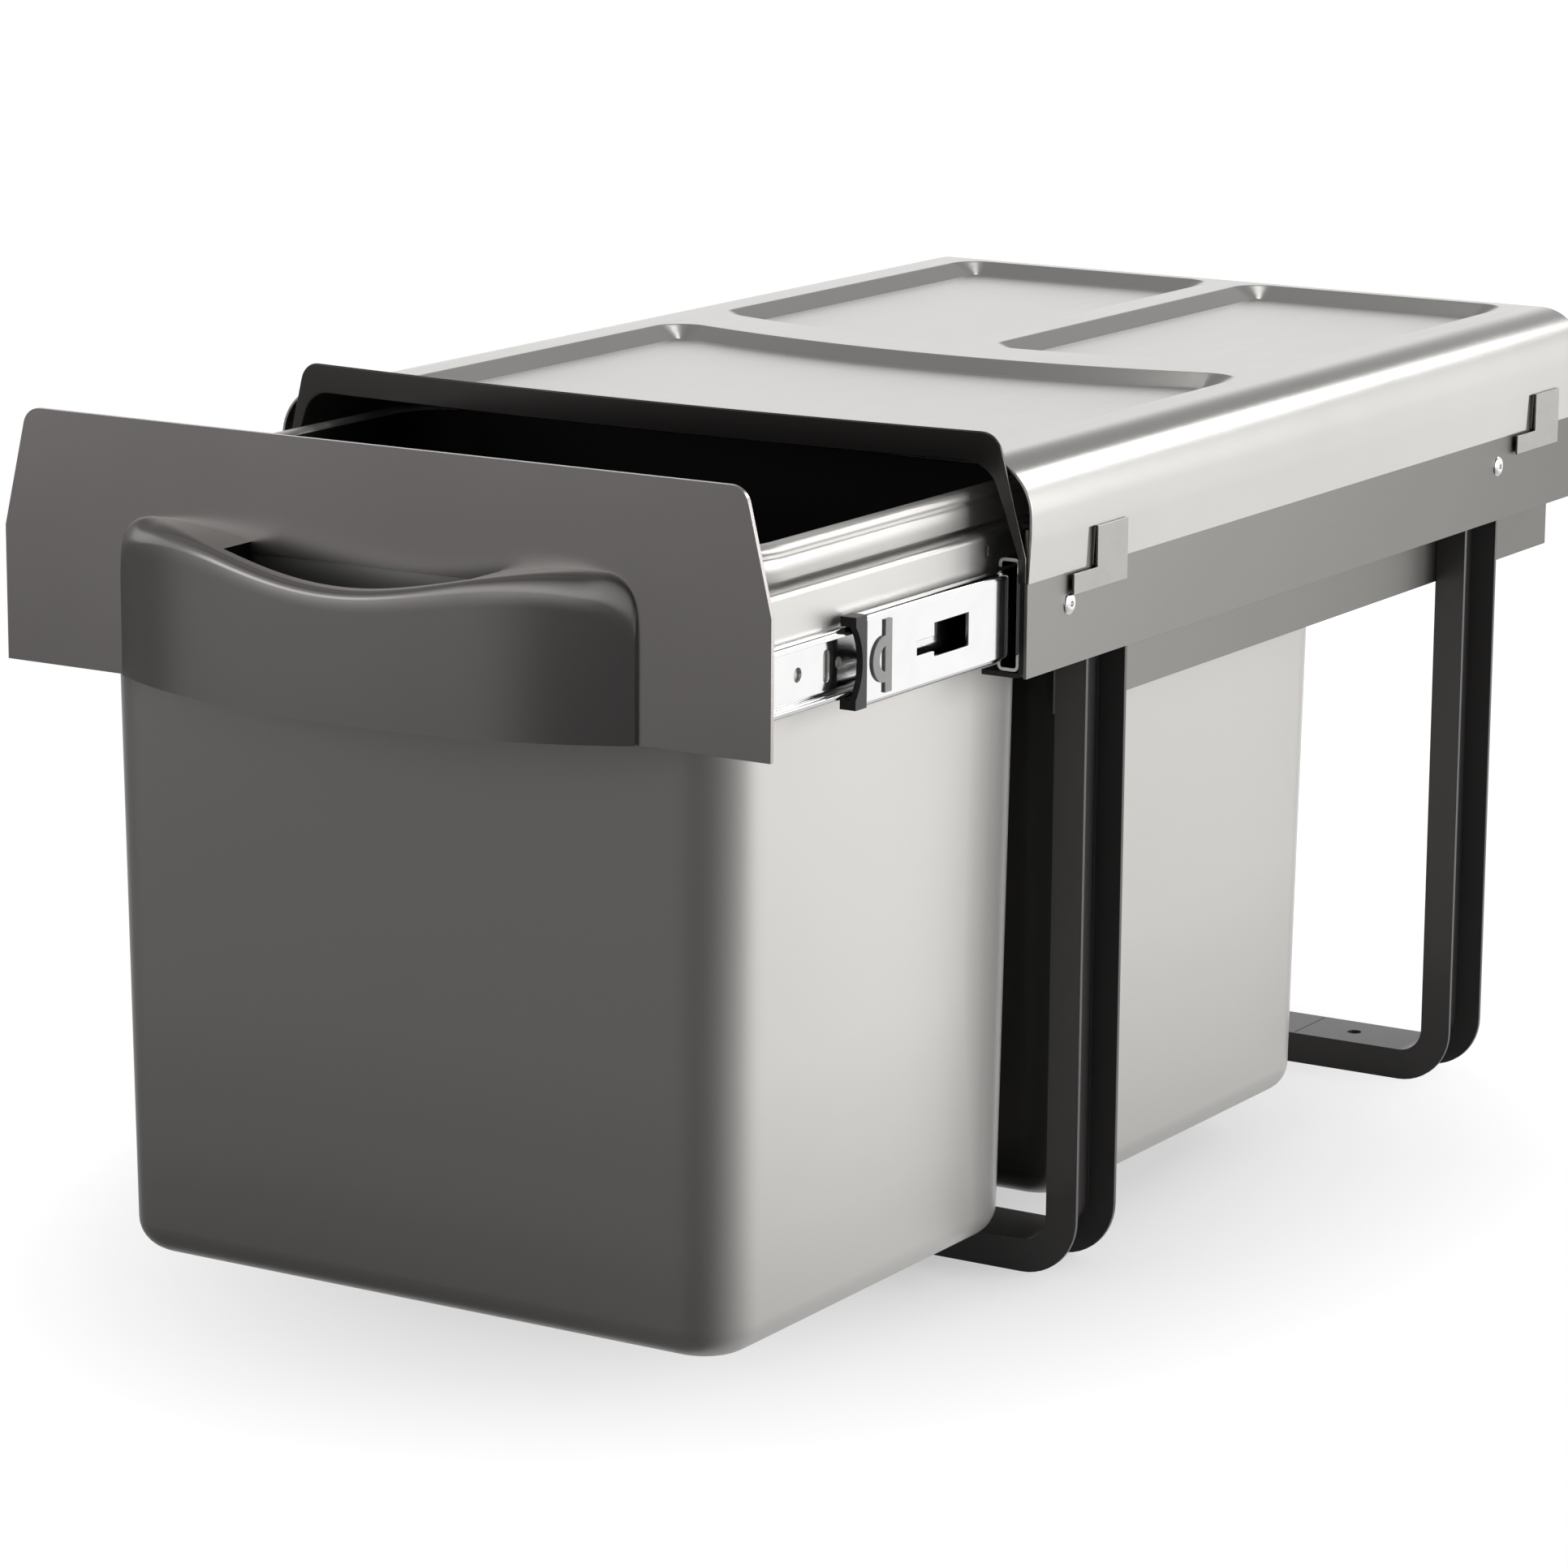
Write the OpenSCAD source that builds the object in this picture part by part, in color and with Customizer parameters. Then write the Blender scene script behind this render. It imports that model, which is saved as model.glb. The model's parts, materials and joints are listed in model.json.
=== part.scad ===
// Pull-out waste cabinet unit: fixed hoop frame with pressed cover, ball-bearing slides, bin drawer.
// X is the width, Y the depth (the drawer comes out towards -Y), Z the height; floor at Z = 0.

/* [Fixed frame] */
// width across the cover's sides
cover_w = 360; // [300:5:560]
// height of the cover's flat top above the floor
cover_z = 346; // [300:2:460]
// sheet of the cover
cover_t = 1.2; // [0.8:0.1:2]
// outer radius of the cover's side bends
bend_r = 22; // [12:1:26]
// height of the cover's sides, top to skirt edge
skirt_h = 48.5; // [42:0.5:60]
// height of the cover's rear flange
rear_h = 30; // [28:1:44]
// cover behind the slides' rear ends
cover_tail = 21.5; // [16:0.2:60]
// cover's flat top down to the side panels' lower edge
panel_drop = 86; // [78:1:100]
// sheet of the side panels
panel_t = 1.5; // [1:0.1:2.5]
// sheet of the frame rails
rail_t = 2; // [1.5:0.1:3]
// inward flange of the frame rails
rail_flange = 18.5; // [16:0.5:24]

/* [Trays] */
// depth of the pressed trays
tray_h = 5.2; // [3:0.2:9]
// width of the tray walls, top to foot
tray_run = 12; // [4:0.5:14]
// corner radius of the trays
tray_r = 15; // [15:1:24]
// flat border between the cover's side bends and the trays
tray_side = 12; // [6:1:30]
// cover front edge to the front tray
tray_front = 24; // [18:1:60]
// land between the two rear trays
tray_land = 15; // [8:1:40]
// middle of the front tray's curved rear wall, from the trim
tray_mid = 231; // [200:2:260]
// width of the curved land between front and rear trays
land_w = 33; // [20:1:60]
// radius of the curved rear wall of the front tray
tray_arc = 461; // [300:5:900]
// cover rear edge to the rear trays
tray_rear = 8; // [6:1:40]

/* [Front trim] */
// height of the trim's top above the cover's top
trim_rise = 10.5; // [6:0.5:20]
// width of the trim's side bands
trim_side = 3.2; // [2.4:0.2:6]
// sheet of the trim
trim_t = 1.6; // [1:0.1:3]
// forward bow of the trim at its middle
trim_bow = 10; // [4:1:14]

/* [Hoops and strips] */
// front of the front hoop behind the trim
hoop_front_y = 57; // [30:1:120]
// front of the rear hoop before the cover's rear edge
hoop_rear_in = 114; // [80:1:160]
// width of the hoop channel along the depth
hoop_w = 34.4; // [24:0.4:50]
// depth of the hoop channel's flanges
hoop_flange = 14; // [10:0.5:15]
// sheet of the hoops
hoop_t = 2; // [1.5:0.1:3]
// outer corner radius of the hoops
hoop_r = 25; // [18:1:40]
// screw holes in the hoops, distance from the middle
screw_x = 119; // [105:1:125]
// diameter of the screw holes
screw_d = 6.5; // [4:0.5:9]
// height of the strips below the frame rails
strip_h = 26; // [14:1:40]
// thickness of the strips
strip_t = 2; // [1.5:0.1:3]

/* [Slides] */
// length of each slide member
slide_l = 500; // [440:2:560]
// height of the outer member
slide_h = 45; // [43:1:48]
// thickness of the whole slide
slide_w = 12.7; // [12:0.1:14]
// sheet of the outer members
slide_t = 1.5; // [1:0.1:1.6]
// sheet of the middle and inner members
member_t = 1.4; // [1:0.1:1.5]
// share of the drawer's way that the middle members take
middle_share = 0.64; // [0.5:0.02:0.7]

/* [Drawer] */
// drawer pulled out, trim to the plate's front
drawer_out = 184; // [60:2:300]
// cover side to the plate's side
plate_side = 3.2; // [1:0.2:20]
// height of the plate
plate_h = 101; // [90:1:110]
// height of the plate's upright lower part
plate_break_h = 53.5; // [40:0.5:70]
// sheet of the plate
plate_t = 2; // [1.5:0.1:3]
// width of the grip
grip_w = 238; // [180:2:280]
// height of the grip
grip_h = 63.6; // [56:0.2:70]
// how far the grip bows out of the plate
grip_bow = 30; // [24:1:36]
// wall of the grip
grip_t = 3; // [2.5:0.1:4]
// dip of the grip's upper lip
grip_dip = 13; // [6:1:20]
// sheet of the drawer rails
drail_t = 1.5; // [1:0.1:2]
// inward flange of the drawer rails
drail_flange = 8.8; // [7:0.2:12]

/* [Bins] */
// gap between the bins' body and the drawer rails' flanges
bin_side = 4; // [1:0.5:12]
// gap between the front bin's body and the rear bins' bodies
bin_gap = 26.5; // [20:0.5:40]
// wall of the bins
bin_wall = 2; // [1.6:0.1:3]
// outward step of the rim
bin_rim = 6; // [4:0.5:7]
// height of the rim's collar
bin_collar = 14; // [11:0.5:15]
// inward slope of each wall over the bin's height
bin_draft = 4.5; // [1:0.5:8]
// corner radius of the front bin
bin_r = 28; // [22:1:36]
// corner radius of the rear bins
rear_r = 25.2; // [20:0.2:32]
// rounding of the bins' lower edges
bin_foot_r = 13; // [8:1:16]

/* [Hidden] */
$fn = 64;

// clearance at each seat, and how far cuts run past what they cut
seat = 0.3;
over = 1;

// frame widths, outside in
half_w = cover_w / 2;
panel_x = half_w - cover_t - seat;
rail_x = panel_x - panel_t;
slide_x = rail_x - rail_t;
drail_x = slide_x - slide_w;
hoop_x = slide_x;

// frame depths, from the trim's plane back
frame_gap = 3;
strip_tail = 5;
front_y = trim_t + seat;
slide_y = front_y + seat;
cover_d = slide_y + slide_l + cover_tail + seat;
frame_end = cover_d - cover_t - frame_gap;
strip_end = cover_d + strip_tail;

// frame heights
rail_drop = 5;
panel_z = cover_z - panel_drop;
skirt_z = cover_z - skirt_h;
rail_top = cover_z - bend_r - rail_drop;
slide_z = panel_z + rail_t + seat + slide_h / 2;

// ways of the drawer and of what follows it
shut_gap = 0.5;
drawer_shut = plate_t + trim_bow + shut_gap;
travel_in = drawer_out - drawer_shut;
middle_out = middle_share * travel_in;
cage_outer_out = middle_out / 2;
cage_inner_out = (middle_out + travel_in) / 2;
grip_y = drawer_out + grip_bow;
mid_y = (grip_y - strip_end) / 2;

module in_frame() translate([0, mid_y, 0]) children();
module in_middle() translate([0, mid_y - middle_out, 0]) children();
module in_cage(out) translate([0, mid_y - out, 0]) children();
module in_drawer() translate([0, mid_y - drawer_out, 0]) children();
module on_side(s) scale([s, 1, 1]) children();
module right_left() for (s = [1, -1]) on_side(s) children();

// box given by its two corners
module block(a, b) translate(a) cube([b[0] - a[0], b[1] - a[1], b[2] - a[2]]);
// round bar along X, Y or Z from a given start
module bar_x(p, r, l) translate(p) rotate([0, 90, 0]) cylinder(r = r, h = l);
module bar_y(p, r, l) translate(p) rotate([-90, 0, 0]) cylinder(r = r, h = l);
module bar_z(p, r, l) translate(p) cylinder(r = r, h = l);
// outline in XZ drawn out along Y, and outline in YZ drawn out along X
module slab_y(pts, y0, y1) translate([0, y1, 0]) rotate([90, 0, 0]) linear_extrude(y1 - y0) polygon(pts);
module slab_x(pts, x0, x1) translate([x0, 0, 0]) rotate([90, 0, 90]) linear_extrude(x1 - x0) polygon(pts);

// round corner as a row of points, from angle a0 to a1
corner_parts = 6;
function arc(x, z, r, a0, a1, n) = [for (i = [0 : n]) let (a = a0 + (a1 - a0) * i / n) [x + r * cos(a), z + r * sin(a)]];
function back(pts) = [for (i = [len(pts) - 1 : -1 : 0]) pts[i]];
function inside(pts) = [for (i = [1 : len(pts) - 2]) pts[i]];
function mirrored(pts) = [for (p = back(pts)) [-p[0], p[1]]];
function both(pts) = concat(pts, mirrored(pts));
// swelling outline: w half width, depth at the middle, power of the fall to the ends
function bow(w, depth, shift, power, n) =
    [for (i = [0 : n]) let (k = 2 * i / n - 1) [w * k, shift - depth * (1 - pow(abs(k), power))]];

// folded sheet: a middle line of [x, z, way out] points gets its thickness
bend_parts = 5;
function bend(x, z, r, a0, a1) = [for (i = [0 : bend_parts]) let (a = a0 + (a1 - a0) * i / bend_parts)
    [x + r * cos(a), z + r * sin(a), a]];
function edge_of(line, d) = [for (p = line) [p[0] + d * cos(p[2]), p[1] + d * sin(p[2])]];
function folded(line, t) = concat(edge_of(line, t / 2), back(edge_of(line, -t / 2)));
// angle section: leg up from z0 to z1 with its outer face at x = 0, flange to x = w
function angle_line(w, z0, z1, t, r) = let (b = r + t / 2)
    concat([[t / 2, z0, 180]], bend(t / 2 + b, z1 - t / 2 - b, b, 180, 90), [[w, z1 - t / 2, 90]]);
// outline set to the right side: x counts inwards from x0
function inwards(x0, z0, pts) = [for (p = pts) [x0 - p[0], z0 + p[1]]];

// solid through rings of points, each given as [height, outline], the lowest first
module loft(rings) {
    n = len(rings[0][1]);
    top = n * (len(rings) - 1);
    sides = [for (k = [0 : len(rings) - 2], i = [0 : n - 1]) let (a = k * n + i, b = k * n + (i + 1) % n)
        each [[a, a + n, b + n], [a, b + n, b]]];
    polyhedron([for (q = rings, p = q[1]) [p[0], p[1], q[0]]],
        concat([[for (i = [0 : n - 1]) i]], sides, [[for (i = [n - 1 : -1 : 0]) top + i]]));
}

// trays pressed into the cover: one behind the trim with a curved rear wall, two behind the land
arc_parts = 14;
arc_y = tray_mid + tray_arc;
tray_x = half_w - bend_r - tray_side;
function front_ring(o) = let (r = tray_r - o, x = tray_x - tray_r, y0 = tray_front + tray_r,
    y1 = arc_y - sqrt(pow(tray_arc + tray_r, 2) - x * x), lean = atan2(y1 - arc_y, x))
    concat(arc(x, y0, r, -90, 0, corner_parts), arc(x, y1, r, 0, lean + 180, corner_parts),
        inside(arc(0, arc_y, tray_arc + o, lean, -180 - lean, arc_parts)),
        arc(-x, y1, r, -lean, 180, corner_parts), arc(-x, y0, r, 180, 270, corner_parts));
function rear_ring(o) = let (r = tray_r - o, xa = tray_land / 2 + tray_r, xb = tray_x - tray_r,
    rad = tray_arc - land_w - tray_r, ya = arc_y - sqrt(rad * rad - xa * xa), yb = arc_y - sqrt(rad * rad - xb * xb),
    y1 = cover_d - tray_rear - tray_r, aa = atan2(ya - arc_y, xa), ab = atan2(yb - arc_y, xb))
    concat(arc(xa, ya, r, -180, aa, corner_parts), inside(arc(0, arc_y, rad + r, aa, ab, corner_parts)),
        arc(xb, yb, r, ab, 0, corner_parts), arc(xb, y1, r, 0, 90, corner_parts), arc(xa, y1, r, 90, 180, corner_parts));
// grow is the sheet where the underside is drawn; the wall is straight with eased ends
wall_run_shares = [0, 0.12, 0.9, 1];
wall_fall_shares = [0, 0.06, 0.95, 1];
module tray(rear, grow, top) {
    loft(concat([for (k = [len(wall_run_shares) - 1 : -1 : grow > 0 ? 1 : 0]) let (o = tray_run * wall_run_shares[k] - grow)
        [cover_z - grow - tray_h * wall_fall_shares[k], rear ? rear_ring(o) : front_ring(o)]],
        [[top, rear ? rear_ring(-grow) : front_ring(-grow)]]));
}
module trays(grow, top) {
    tray(false, grow, top);
    for (s = [1, -1]) on_side(s) tray(true, grow, top);
}

// clip places along the cover's skirt, and the notches in front of them
clip_front = 35;
clip_rear_in = 74;
clip_l = 44;
clip_fold = 6;
clip_tab = 25;
clip_h = 24;
clip_low = 8;
clip_t = 1;
clip_gap = 0.6;
notch_w = 5.5;
notch_h = 16;
clip_y = [clip_front, cover_d - clip_rear_in];

// pressed cover with trays, side bends, skirts and rear flange
module cover() color([0.72, 0.71, 0.69]) in_frame() {
    y0 = front_y;
    y1 = cover_d;
    low = cover_z - cover_t;
    cx = half_w - bend_r;
    cz = cover_z - bend_r;
    difference() {
        union() {
            block([-cx, y0, low], [cx, y1, cover_z]);
            block([-cx, y1 - cover_t, cover_z - rear_h], [cx, y1, cover_z]);
            block([-half_w + cover_t, y1 - cover_t, cover_z - rear_h], [half_w - cover_t, y1, cz]);
            trays(cover_t, cover_z - cover_t / 2);
            right_left() {
                difference() {
                    intersection() {
                        bar_y([cx, y0, cz], bend_r, y1 - y0);
                        block([cx, y0, cz], [half_w, y1, cover_z]);
                    }
                    bar_y([cx, y0 - over, cz], bend_r - cover_t, y1 - y0 + over - cover_t);
                }
                difference() {
                    block([half_w - cover_t, y0, skirt_z], [half_w, y1, cz]);
                    for (y = clip_y) block([half_w - cover_t - over, y + clip_l - clip_tab - notch_w, skirt_z - over],
                        [half_w + over, y + clip_l - clip_tab, skirt_z + notch_h]);
                }
            }
        }
        trays(0, cover_z + over);
    }
}

// folded trim: bowed face with a top band, narrow tapered sides and a return flange under the cover
trim_lift = 0.5;
trim_in = 1.6;
trim_taper = 12.6;
trim_break_h = 38;
trim_r = 9;
trim_in_r = 14;
trim_return = 12;
lip_short = 8;
lip_lap = 0.6;
bow_parts = 16;
bow_power = 2;
trim_z = cover_z + trim_rise;
trim_low = skirt_z + trim_lift;
trim_break = cover_z - trim_break_h;
trim_w0 = half_w - trim_in;
trim_w1 = trim_w0 - trim_taper;
function shield_right(w0, w1, z0, zb, z1, r) = let (lean = atan2(w0 - w1, z1 - zb), zc = z1 - r,
    xc = w0 - (zc - zb) * tan(lean) - r / cos(lean)) concat([[w0, z0], [w0, zb]], arc(xc, zc, r, lean, 90, corner_parts));
module cover_trim() color([0.2, 0.195, 0.19]) in_frame() {
    lip_top = cover_z - cover_t - seat;
    top_in = lip_top - lip_lap;
    lip_w = trim_w1 - trim_r - lip_short;
    front = bow(trim_w0, trim_bow, 0, bow_power, bow_parts);
    rear = bow(trim_w0, trim_bow, trim_t, bow_power, bow_parts);
    middle = bow(trim_w0, trim_bow, trim_t / 2, bow_power, bow_parts);
    intersection() {
        difference() {
            slab_y(both(shield_right(trim_w0, trim_w1, trim_low, trim_break, trim_z, trim_r)), -trim_bow - over, trim_t + over);
            slab_y(both(shield_right(trim_w0 - trim_side, trim_w1 - trim_side, trim_low - over, trim_break, top_in, trim_in_r)),
                -trim_bow - 2 * over, trim_t + 2 * over);
        }
        translate([0, 0, trim_low - over]) linear_extrude(trim_z - trim_low + 2 * over) polygon(concat(front, back(rear)));
    }
    translate([0, 0, lip_top - trim_t]) linear_extrude(trim_t)
        polygon(concat([for (p = middle) if (abs(p[0]) < lip_w) p], [[lip_w, trim_return], [-lip_w, trim_return]]));
}

// silver side panel below the skirt
rivet_front = 35.8;
rivet_rear_in = 89;
rivet_r = 2.2;
rivet_y = [rivet_front, cover_d - rivet_rear_in];
module side_panel(s) in_frame() on_side(s) difference() {
    block([rail_x, front_y, panel_z], [panel_x, frame_end, rail_top]);
    for (y = rivet_y) bar_x([rail_x - over, y, slide_z], rivet_r + seat, panel_t + 2 * over);
}
module side_panel_right() color([0.62, 0.61, 0.59]) side_panel(1);
module side_panel_left() color([0.62, 0.61, 0.59]) side_panel(-1);

// black frame rail: upright web, wide bottom flange, narrow top flange that starts behind the trim
rail_bend = 1;
rail_top_flange = 8;
rail_notch = 12;
module frame_rail(s) in_frame() on_side(s) difference() {
    h = (rail_top - panel_z) / 2;
    upper = angle_line(rail_top_flange, 0, h, rail_t, rail_bend);
    lower = [for (p = back(angle_line(rail_flange, 0, h, rail_t, rail_bend))) [p[0], -p[1], -p[2]]];
    slab_y(inwards(rail_x, panel_z + h, folded(concat(lower, upper), rail_t)), front_y, frame_end);
    block([slide_x - rail_top_flange, front_y - over, rail_top - rail_t - rail_bend],
        [slide_x, front_y + rail_notch, rail_top + over]);
    for (y = rivet_y) bar_x([slide_x - over, y, slide_z], rivet_r + seat, rail_t + 2 * over);
}
module frame_rail_right() color([0.1, 0.1, 0.1]) frame_rail(1);
module frame_rail_left() color([0.1, 0.1, 0.1]) frame_rail(-1);

// hoop bent from channel that is open outwards; x is its half width, low its height above the floor
seam_x = 96;
seam_w = 0.6;
seam_deep = 0.4;
hoop_rear_y = cover_d - hoop_rear_in;
module u_solid(x, r, low, top, y0, y1) {
    cx = x - r;
    block([-cx, y0, low], [cx, y1, top]);
    block([-x, y0, low + r], [x, y1, top]);
    for (s = [1, -1]) bar_y([s * cx, y0, low + r], r, y1 - y0);
}
module hoop(y) in_frame() difference() {
    web = hoop_flange - hoop_t;
    union() {
        for (y0 = [y, y + hoop_w - hoop_t]) u_solid(hoop_x, hoop_r, 0, panel_z, y0, y0 + hoop_t);
        u_solid(hoop_x - web, hoop_r - web, web, panel_z, y, y + hoop_w);
    }
    u_solid(hoop_x - hoop_flange, hoop_r - hoop_flange, hoop_flange, panel_z + over, y - over, y + hoop_w + over);
    for (s = [1, -1]) {
        bar_z([s * screw_x, y + hoop_w / 2, 0], screw_d / 2, hoop_flange + over);
        block([s * seam_x - seam_w / 2, y + hoop_t, hoop_flange - seam_deep],
            [s * seam_x + seam_w / 2, y + hoop_w - hoop_t, hoop_flange + over]);
    }
}
module hoop_front() color([0.16, 0.155, 0.155]) hoop(hoop_front_y);
module hoop_rear() color([0.16, 0.155, 0.155]) hoop(hoop_rear_y);

// light strip inboard of the hoops, up to the rail's flange
module strip(s) in_frame() on_side(s)
    block([hoop_x - hoop_flange - strip_t, hoop_front_y + hoop_t, panel_z - strip_h],
        [hoop_x - hoop_flange, strip_end, panel_z]);
module strip_right() color([0.6, 0.59, 0.57]) strip(1);
module strip_left() color([0.6, 0.59, 0.57]) strip(-1);

// blind rivets with round heads through panel, rail and outer member
rivet_head = 4.6;
rivet_crown = 2.8;
rivet_dome = 1.4;
module rivets() color([0.8, 0.8, 0.79]) in_frame() right_left() for (y = rivet_y) {
    translate([panel_x, y, slide_z]) rotate([0, 90, 0]) cylinder(r1 = rivet_head, r2 = rivet_crown, h = rivet_dome);
    bar_x([slide_x - slide_t, y, slide_z], rivet_r, panel_x - slide_x + slide_t + rivet_dome / 2);
}

// spring clips that hook the skirt's edge to the side panel
module clips(s) in_frame() on_side(s) for (y = clip_y) {
    low = skirt_z - clip_low;
    y1 = y + clip_l;
    block([half_w, y1 - clip_tab, low], [half_w + clip_t, y1, low + clip_h]);
    block([half_w, y, low - clip_t], [half_w + clip_t, y1, skirt_z - clip_gap]);
    block([panel_x, y + clip_fold, low - clip_t], [half_w + clip_t, y1, low]);
}
module clips_right() color([0.7, 0.69, 0.67]) clips(1);
module clips_left() color([0.7, 0.69, 0.67]) clips(-1);

// rear tie between the frame rails: an angle with its flange forwards
tie_h = 40;
tie_flange = 6.5;
tie_gap = 1.3;
module back_tie() color([0.12, 0.12, 0.12]) in_frame()
    slab_x(inwards(frame_end, panel_z + rail_t, folded(angle_line(tie_flange, 0, tie_h, rail_t, rail_bend), rail_t)),
        -slide_x, slide_x);

// ball-bearing slide: heights and depths of its three rolled members, from the frame rail inwards
slide_bend = 1;
out_short = 2.9;
out_lip = 4;
web_gap = 1.95;
mid_in = 4.8;
mid_short = 2.3;
mid_lip = 3.2;
in_in = 9.05;
in_deep = 6.2;
in_lip = 2.6;
out_tip = slide_w - out_short;
mid_web = slide_t + web_gap;
mid_tip = slide_w - mid_short;
mid_h = slide_h - 2 * mid_in;
in_h = slide_h - 2 * in_in;
in_tip = slide_w - in_deep;
// middle line of half a member: web, raceway bend, flange, raceway bend, lip
function half_member(w, h, t, lip) = let (b = slide_bend + t / 2, z = h / 2 - t / 2 - b)
    concat(bend(t / 2 + b, z, b, 180, 90), bend(w - t / 2 - b, z, b, 90, 0), [[w - t / 2, h / 2 - lip, 0]]);
function member(w, h, t, lip) = let (half = half_member(w, h, t, lip))
    folded(concat([for (p = back(half)) [p[0], -p[1], -p[2]]], half), t);
// member whose web's back lies at u = web and whose lips end at u = tip
module channel(web, tip, h, t, lip, y0) {
    turn = tip > web ? 1 : -1;
    pts = [for (p = member(abs(tip - web), h, t, lip)) [slide_x - web - turn * p[0], slide_z + p[1]]];
    slab_y(pts, y0, y0 + slide_l);
}
module slide_outer(s) in_frame() on_side(s) difference() {
    channel(0, out_tip, slide_h, slide_t, out_lip, slide_y);
    for (y = rivet_y) bar_x([slide_x - slide_t - over, y, slide_z], rivet_r + seat, slide_t + 2 * over);
}
module slide_outer_right() color([0.8, 0.8, 0.8]) slide_outer(1);
module slide_outer_left() color([0.8, 0.8, 0.8]) slide_outer(-1);

// middle member with a stepped window near each end
win_y = 37;
win_l = 39;
win_step = 13;
win_h = 6.5;
win_low = 4.5;
win_up = 1.5;
module slide_middle(s) in_middle() on_side(s) difference() {
    x0 = slide_x - mid_web - member_t - over;
    x1 = slide_x - mid_web + over;
    channel(mid_web, mid_tip, mid_h, member_t, mid_lip, slide_y);
    for (y = [slide_y + win_y, slide_y + slide_l - win_y - win_l]) {
        block([x0, y + win_step, slide_z - win_h], [x1, y + win_l, slide_z + win_h]);
        block([x0, y, slide_z - win_low], [x1, y + win_l, slide_z + win_up]);
    }
}
module slide_middle_right() color([0.85, 0.85, 0.86]) slide_middle(1);
module slide_middle_left() color([0.85, 0.85, 0.86]) slide_middle(-1);

// black end caps with a hollow front and a way through for the inner member
cap_l = 8;
cap_r = 22;
cap_dip = 5;
cap_gap = 0.5;
module slide_bumpers() color([0.05, 0.05, 0.05]) in_middle() right_left() difference() {
    x0 = slide_x - mid_tip;
    y0 = slide_y - cap_l;
    block([x0, y0, slide_z - mid_h / 2], [slide_x - mid_web, slide_y, slide_z + mid_h / 2]);
    bar_x([x0 - over, y0 + cap_dip - cap_r, slide_z], cap_r, mid_tip + 2 * over);
    block([x0 - over, y0 - over, slide_z - in_h / 2 - cap_gap],
        [slide_x - in_tip + seat, slide_y + over, slide_z + in_h / 2 + cap_gap]);
}

// grey stop clips with a half-round nose on the middle members
stop_y = 12;
stop_t = 0.9;
stop_w = 5;
stop_h = 14;
stop_nose = 9;
stop_hole = 5;
module slide_stops() color([0.55, 0.55, 0.55]) in_middle() right_left() {
    x0 = slide_x - mid_web;
    y0 = slide_y + stop_y;
    y1 = y0 + stop_w;
    block([x0, y0, slide_z - stop_h], [x0 + stop_t, y1, slide_z + stop_h]);
    difference() {
        bar_x([x0, y0, slide_z - over], stop_nose, stop_t);
        bar_x([x0 - over, y0 + over, slide_z - over], stop_hole, stop_t + 2 * over);
        block([x0 - over, y1, slide_z - 2 * stop_nose], [x0 + stop_t + over, y1 + stop_nose, slide_z + 2 * stop_nose]);
    }
}

// ball strips: thin plate with two arms and a row of balls in each
ball_play = 0.3;
ball_pitch = 18;
cage_t = 0.6;
cage_gap = 0.4;
cage1_start_share = 0.31;
cage1_length_share = 0.36;
cage2_start_share = 0.27;
cage2_length_share = 0.46;
ball_r1 = (mid_in - slide_t) / 2 - ball_play;
ball_r2 = (in_in - mid_in - member_t) / 2 - ball_play;
ball_z1 = slide_h / 2 - (mid_in + slide_t) / 2;
ball_z2 = slide_h / 2 - (in_in + mid_in + member_t) / 2;
module ball_strip(u, arm, ball_z, r, y0, l) {
    z = ball_z + cage_t / 2;
    count = floor((l - ball_pitch) / ball_pitch);
    for (m = [1, -1]) translate([0, 0, slide_z]) scale([1, 1, m]) {
        block([slide_x - u - cage_t, y0, 0], [slide_x - u, y0 + l, z]);
        block([slide_x - arm, y0, z - cage_t], [slide_x - u, y0 + l, z]);
        for (k = [0 : count]) translate([slide_x - (u + arm) / 2, y0 + ball_pitch / 2 + k * ball_pitch, ball_z])
            sphere(r = r, $fn = 16);
    }
}
module ball_cages_outer() color([0.7, 0.7, 0.68]) in_cage(cage_outer_out) right_left()
    ball_strip(slide_t + cage_t, out_tip - slide_t - cage_gap, ball_z1, ball_r1,
        slide_y + cage1_start_share * slide_l, cage1_length_share * slide_l);
module ball_cages_inner() color([0.7, 0.7, 0.68]) in_cage(cage_inner_out) right_left()
    ball_strip(mid_web + member_t + cage_gap, mid_tip - member_t - cage_gap, ball_z2, ball_r2,
        slide_y + cage2_start_share * slide_l, cage2_length_share * slide_l);

// inner member on the drawer rail, with slot and holes
slide_in_y = drawer_out + slide_y - travel_in;
hole_front = 25;
hole_rear_in = 70;
hole_r = 2.8;
slot_y = 45.2;
slot_r = 2.2;
slot_h = 4;
pin_y = 54;
module slide_inner(s) in_drawer() on_side(s) difference() {
    x0 = drail_x - over;
    l = member_t + 2 * over;
    channel(slide_w, in_tip, in_h, member_t, in_lip, slide_in_y);
    for (y = [hole_front, slide_l - hole_rear_in]) bar_x([x0, slide_in_y + y, slide_z], hole_r, l);
    bar_x([x0, slide_in_y + pin_y, slide_z], slot_r, l);
    block([x0, slide_in_y + slot_y - slot_r, slide_z - slot_h], [x0 + l, slide_in_y + slot_y + slot_r, slide_z + slot_h]);
    for (m = [1, -1]) bar_x([x0, slide_in_y + slot_y, slide_z + m * slot_h], slot_r, l);
}
module slide_inner_right() color([0.85, 0.85, 0.86]) slide_inner(1);
module slide_inner_left() color([0.85, 0.85, 0.86]) slide_inner(-1);

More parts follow.
